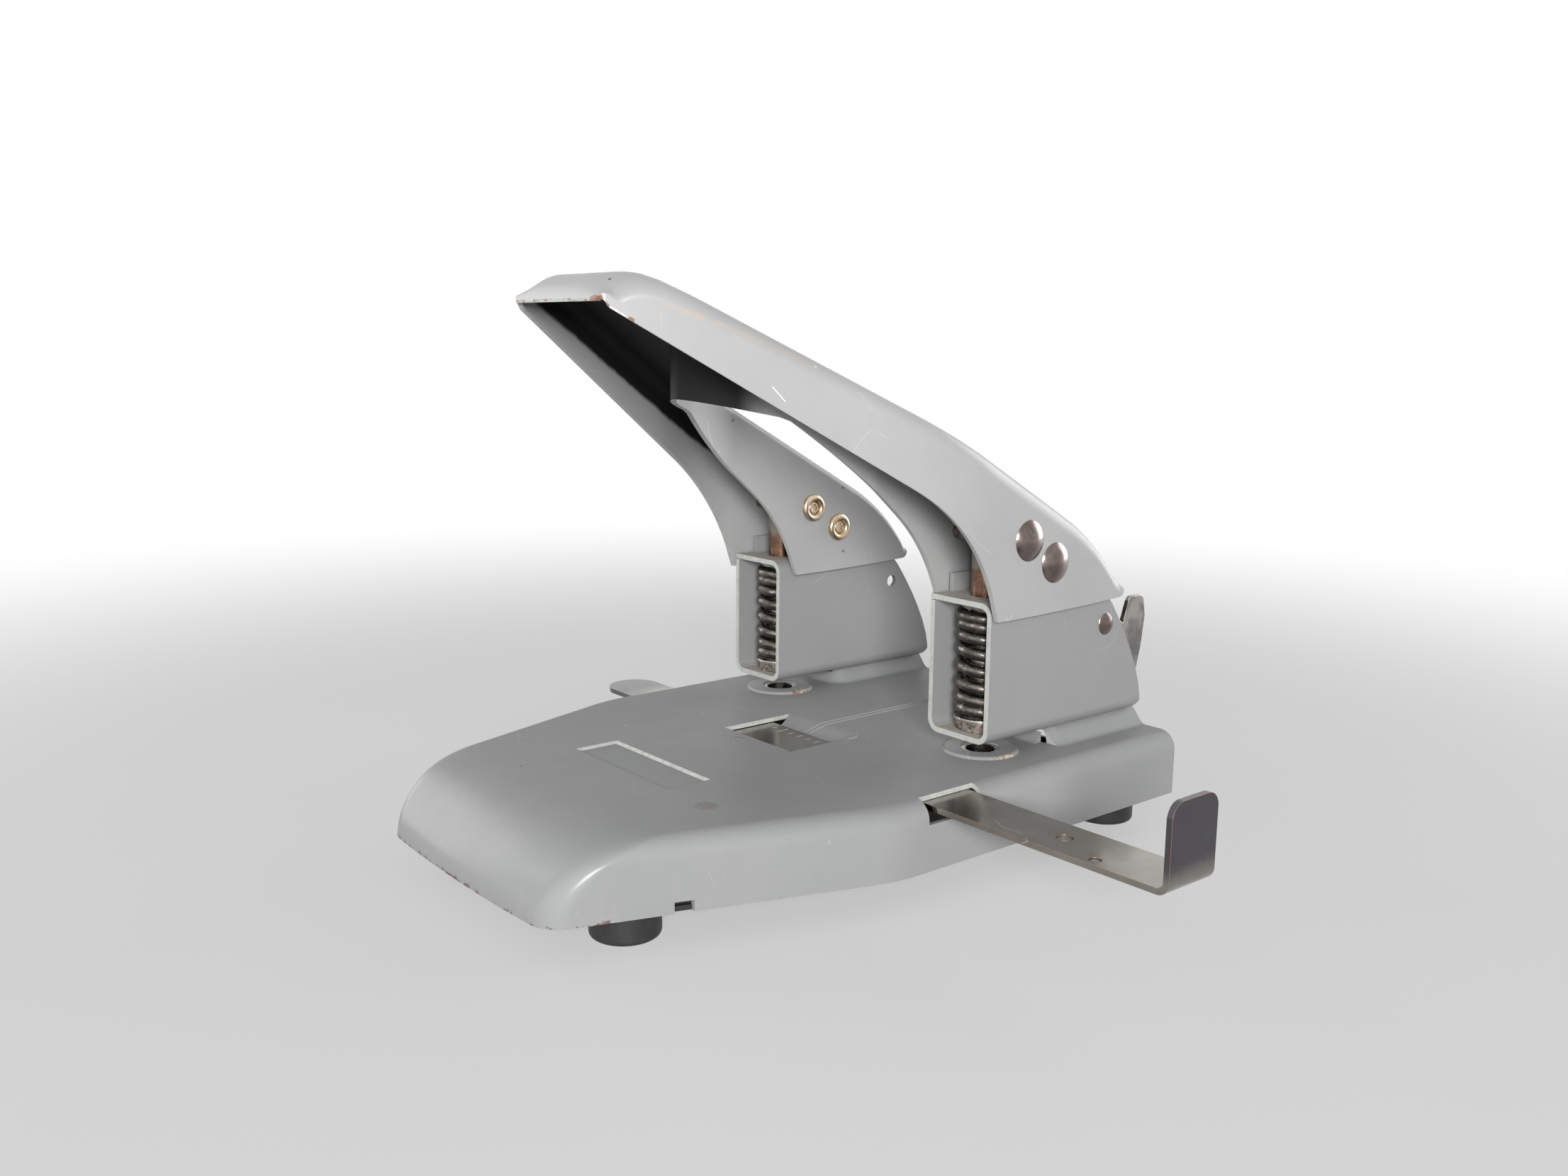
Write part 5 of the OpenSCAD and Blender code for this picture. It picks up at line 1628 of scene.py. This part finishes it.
def build_frames():
    """Both frames, dusty on their level faces and bare on their front edges, and the latch."""
    shelf_z = SEAT_Z + sizes("fittings")["shelf"]
    for side in ("left", "right"):
        name = "frame_" + side
        obj = cad_copy(name, "punch_frame_" + side)
        give_materials(obj, enamel(), enamel_edge(), dusty_enamel(), sheet_edge())
        softened(obj, 0.22)
        low = span(name)[0]
        for face in obj.data.polygons:
            centre = face.center
            level = centre.z < low.z + 2.5 or abs(centre.z - shelf_z) < 0.2
            if face.normal.z > 0.9 and level and face.area > 3:
                face.material_index = 2
            if face.normal.y < -0.99 and centre.y < low.y + 0.05:
                face.material_index = 3
        smooth(obj)
        hand_over(obj, "base", "enamel", name)
        dress("frame_rivets_" + side, "seat_rivets_" + side, "base", "plated_steel",
              rivet_head(), bright_edge(), 0.1)
    dress("lock_latch", "lever_latch", "latch", "dark_steel", latch_steel(), bright_edge(), 0.25)
    dress("latch_rivet", "latch_pin", "base", "plated_steel", rivet_head(), bright_edge(), 0.12)


# The punches with their springs

def build_punches():
    f = sizes("fittings")
    shape = coil_shape(spring_steel())
    for side, sign in (("left", -1), ("right", 1)):
        body = "punch_" + side
        bright = bright_edge()
        for node, name, rides_on, slot, look, edge, width in (
                ("punch_pin_", "cutter_pin_", body, "tool_steel", pin_steel(), bright, 0.15),
                ("pin_clip_", "spring_clip_", body, "dark_steel", tool_steel(), bright, 0.12),
                ("lower_bush_", "guide_bush_", "base", "tool_steel", tool_steel(), tool_steel(), 0.2),
                ("spring_washer_", "coil_washer_", "base", "plated_steel", washer_steel(), bright, 0.15)):
            dress(node + side, name + side, rides_on, slot, look, edge, width)
        seed = bpy.data.meshes.new("coil")
        tall = SPRING_HIGH.z - SPRING_LOW.z
        coil = shape.grow("return_coil_" + side, seed, {
            "Radius": f["coil_radius"], "Height": tall - f["wire"], "Turns": f["turns"], "Wire": f["wire"]})
        coil.data.transform(Matrix.Translation((sign * AXIS_X, 0, SPRING_LOW.z + f["wire"] / 2)))
        smooth(coil, math.radians(60))
        hand_over(coil, "base", "dark_steel", "return_spring_" + side)
        slide = "punch_slide_" + side
        travel = max(abs(v) for v in joint(slide)["range_m"]) / MM
        (tall - travel) / tall
        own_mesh(coil)


# The guide bar and the tray

def build_guide_bar():
    dress("guide_bar", "paper_guide", "bar", "plated_steel", nickel(), worn_nickel_edge(), 0.22)
    f = sizes("fittings")
    shape = tick_shape(bar_mark())
    marks = shape.grow("guide_marks", bpy.data.meshes.new("marks"), {
        "Pitch": f["tick_pitch"], "Width": f["tick_width"], "Length": f["tick_length"]})
    start = -f["tick_pitch"] * (f["ticks"] - 1) / 2
    spot = (start, BAR_HIGH.y - f["tick_place"], BAR_LOW.z + f["bar_sheet"])
    marks.data.transform(Matrix.Translation(spot))
    hand_over(marks, "bar", "plated_steel")


def build_tray():
    dress("chip_tray", "chip_cover", "tray", "tray_plastic", tray_plastic(), tray_plastic(), 0.2)
    for place in ("front_left", "front_right", "rear_left", "rear_right"):
        dress("foot_" + place, "rubber_foot_" + place, "tray", "foot_rubber", rubber(), rubber(), 0.3)
    dress("foot_rivets", "foot_fixings", "tray", "plated_steel", rivet_head(), bright_edge(), 0.1)


# The stage

CAMERA_PLACE = (0.216255, -0.189712, 0.109461)
CAMERA_AZIMUTH = 50.66
CAMERA_ELEVATION = 10.20
CAMERA_ROLL = 0.51
CAMERA_LENS = 31.957
STAGE_MIDDLE = Vector((ORIGIN.x, ORIGIN.y - 0.03, 0))
LAMP_AIM = STAGE_MIDDLE + Vector((0, 0, 0.05))
AMBIENT = 0.16


def facing(azimuth, elevation):
    """The turn of a camera or lamp that looks at the punch from an azimuth and elevation in degrees."""
    return (Matrix.Rotation(math.radians(azimuth), 4, "Z")
            @ Matrix.Rotation(math.radians(90 - elevation), 4, "X"))


def build_camera():
    data = bpy.data.cameras.new("camera")
    data.sensor_fit = "HORIZONTAL"
    data.sensor_width = 36
    data.lens = CAMERA_LENS
    data.clip_start = 0.005
    camera = add_object("camera", data)
    roll = Matrix.Rotation(math.radians(CAMERA_ROLL), 4, "Z")
    camera.matrix_world = Matrix.Translation(CAMERA_PLACE) @ facing(CAMERA_AZIMUTH, CAMERA_ELEVATION) @ roll
    bpy.context.scene.camera = camera


def seen_rays(tree):
    """1 for rays from the camera and for mirrored or refracted ones, 0 for the rays that light the punch."""
    camera = tree.node("ShaderNodeLightPath", output="Is Camera Ray")
    outputs = camera.socket.node.outputs
    mirrored = Value(tree, outputs["Is Glossy Ray"])
    return camera.most(mirrored).most(Value(tree, outputs["Is Transmission Ray"]))


def floor_finish():
    """A pale floor that goes over into the white surround away from the punch."""
    look = Finish("pale_floor")
    tone = look.mix(colour_of("floor"), (0.39, 0.39, 0.388), look.noise(40, 3) * 0.5)
    look.wear(Base_Color=tone, Roughness=0.75, Specular_IOR_Level=0.2)
    away = look.vector("DISTANCE", look.place, tuple(STAGE_MIDDLE), "Value")
    white = look.node("ShaderNodeEmission", None, {"Color": (1, 1, 1, 1), "Strength": 1.0})
    near = Value(look, look.shader.outputs[0])
    both = look.node("ShaderNodeMixShader", None, {
        0: (look.ramp(away, 0.17, 0.55) * 0.55 + 0.45) * seen_rays(look), 1: near, 2: white})
    end = next(n for n in look.tree.nodes if n.type == "OUTPUT_MATERIAL")
    look.tree.links.new(both.socket, end.inputs["Surface"])
    return look.material


def build_floor():
    bm = bmesh.new()
    bmesh.ops.create_grid(bm, x_segments=1, y_segments=1, size=3.0)
    floor = object_of(bm, "floor")
    give_materials(floor, floor_finish())


def add_lamp(name, azimuth, elevation, distance, wide, watts):
    """A square soft lamp that faces the middle of the punch. Azimuth is as for the camera."""
    data = bpy.data.lights.new(name, "AREA")
    data.shape = "SQUARE"
    data.size = wide
    data.energy = watts
    lamp = add_object(name, data)
    back = Matrix.Translation((0, 0, distance))
    lamp.matrix_world = Matrix.Translation(LAMP_AIM) @ facing(azimuth, elevation) @ back


def build_world():
    world = bpy.data.worlds.new("studio")
    bpy.context.scene.world = world
    world.use_nodes = True
    tree = Tree(world.node_tree)
    shade = next(n for n in world.node_tree.nodes if n.type == "BACKGROUND")
    shade.inputs["Color"].default_value = (1, 1, 1, 1)
    strength = seen_rays(tree) * (1 - AMBIENT) + AMBIENT
    world.node_tree.links.new(strength.socket, shade.inputs["Strength"])


def build_stage():
    scene = bpy.context.scene
    scene.view_settings.view_transform = "Standard"
    build_camera()
    build_floor()
    build_world()
    add_lamp("key", 53, 15, 0.95, 0.26, 10.0)
    add_lamp("fill", 5, 24, 1.0, 0.8, 1.6)
    add_lamp("rear", 172, 13, 1.0, 0.7, 4.6)
    add_lamp("left", 288, 13, 1.0, 0.7, 3.6)


# The add-on

class PUNCH_OT_stage(bpy.types.Operator):
    """Makes the camera, the floor and the lamps"""
    bl_idname = "desk_punch.stage"
    bl_label = "Stage"

    def execute(self, context):
        build_stage()
        return {"FINISHED"}


class PUNCH_OT_base(bpy.types.Operator):
    """Makes the pressed base with its dies and straps"""
    bl_idname = "desk_punch.base"
    bl_label = "Base"

    def execute(self, context):
        build_base()
        return {"FINISHED"}


class PUNCH_OT_tray(bpy.types.Operator):
    """Makes the chip tray with its feet"""
    bl_idname = "desk_punch.tray"
    bl_label = "Chip tray"

    def execute(self, context):
        build_tray()
        return {"FINISHED"}


class PUNCH_OT_frames(bpy.types.Operator):
    """Makes the punch frames and the latch"""
    bl_idname = "desk_punch.frames"
    bl_label = "Frames"

    def execute(self, context):
        build_frames()
        return {"FINISHED"}


class PUNCH_OT_punches(bpy.types.Operator):
    """Makes the pins, bushes, washers and springs"""
    bl_idname = "desk_punch.punches"
    bl_label = "Punches"

    def execute(self, context):
        build_punches()
        return {"FINISHED"}


class PUNCH_OT_lever(bpy.types.Operator):
    """Makes the wishbone lever and its rivets"""
    bl_idname = "desk_punch.lever"
    bl_label = "Lever"

    def execute(self, context):
        build_lever()
        return {"FINISHED"}


class PUNCH_OT_guide_bar(bpy.types.Operator):
    """Makes the paper guide and its marks"""
    bl_idname = "desk_punch.guide_bar"
    bl_label = "Guide bar"

    def execute(self, context):
        build_guide_bar()
        return {"FINISHED"}


class PUNCH_PT_panel(bpy.types.Panel):
    """Lists the steps that build the punch"""
    bl_label = "Desk punch"
    bl_space_type = "VIEW_3D"
    bl_region_type = "UI"
    bl_category = "Desk punch"

    def draw(self, context):
        for operator in OPERATORS:
            self.layout.operator(operator.bl_idname)


OPERATORS = [PUNCH_OT_stage, PUNCH_OT_base, PUNCH_OT_tray, PUNCH_OT_frames,
             PUNCH_OT_punches, PUNCH_OT_lever, PUNCH_OT_guide_bar]
GROUPS = {"base": BaseSizes, "lever": LeverSizes, "fittings": FittingSizes, "colours": Colours}


def register():
    for group in GROUPS.values():
        bpy.utils.register_class(group)
    for kind, group in GROUPS.items():
        setattr(bpy.types.Scene, "desk_punch_" + kind, bpy.props.PointerProperty(type=group))
    for operator in OPERATORS:
        bpy.utils.register_class(operator)
    bpy.utils.register_class(PUNCH_PT_panel)


def unregister():
    bpy.utils.unregister_class(PUNCH_PT_panel)
    for operator in reversed(OPERATORS):
        bpy.utils.unregister_class(operator)
    for kind, group in GROUPS.items():
        delattr(bpy.types.Scene, "desk_punch_" + kind)
        bpy.utils.unregister_class(group)


def main():
    register()
    for step in ("stage", "base", "tray", "frames", "punches", "lever", "guide_bar"):
        getattr(bpy.ops.desk_punch, step)()


if __name__ == "__main__":
    main()
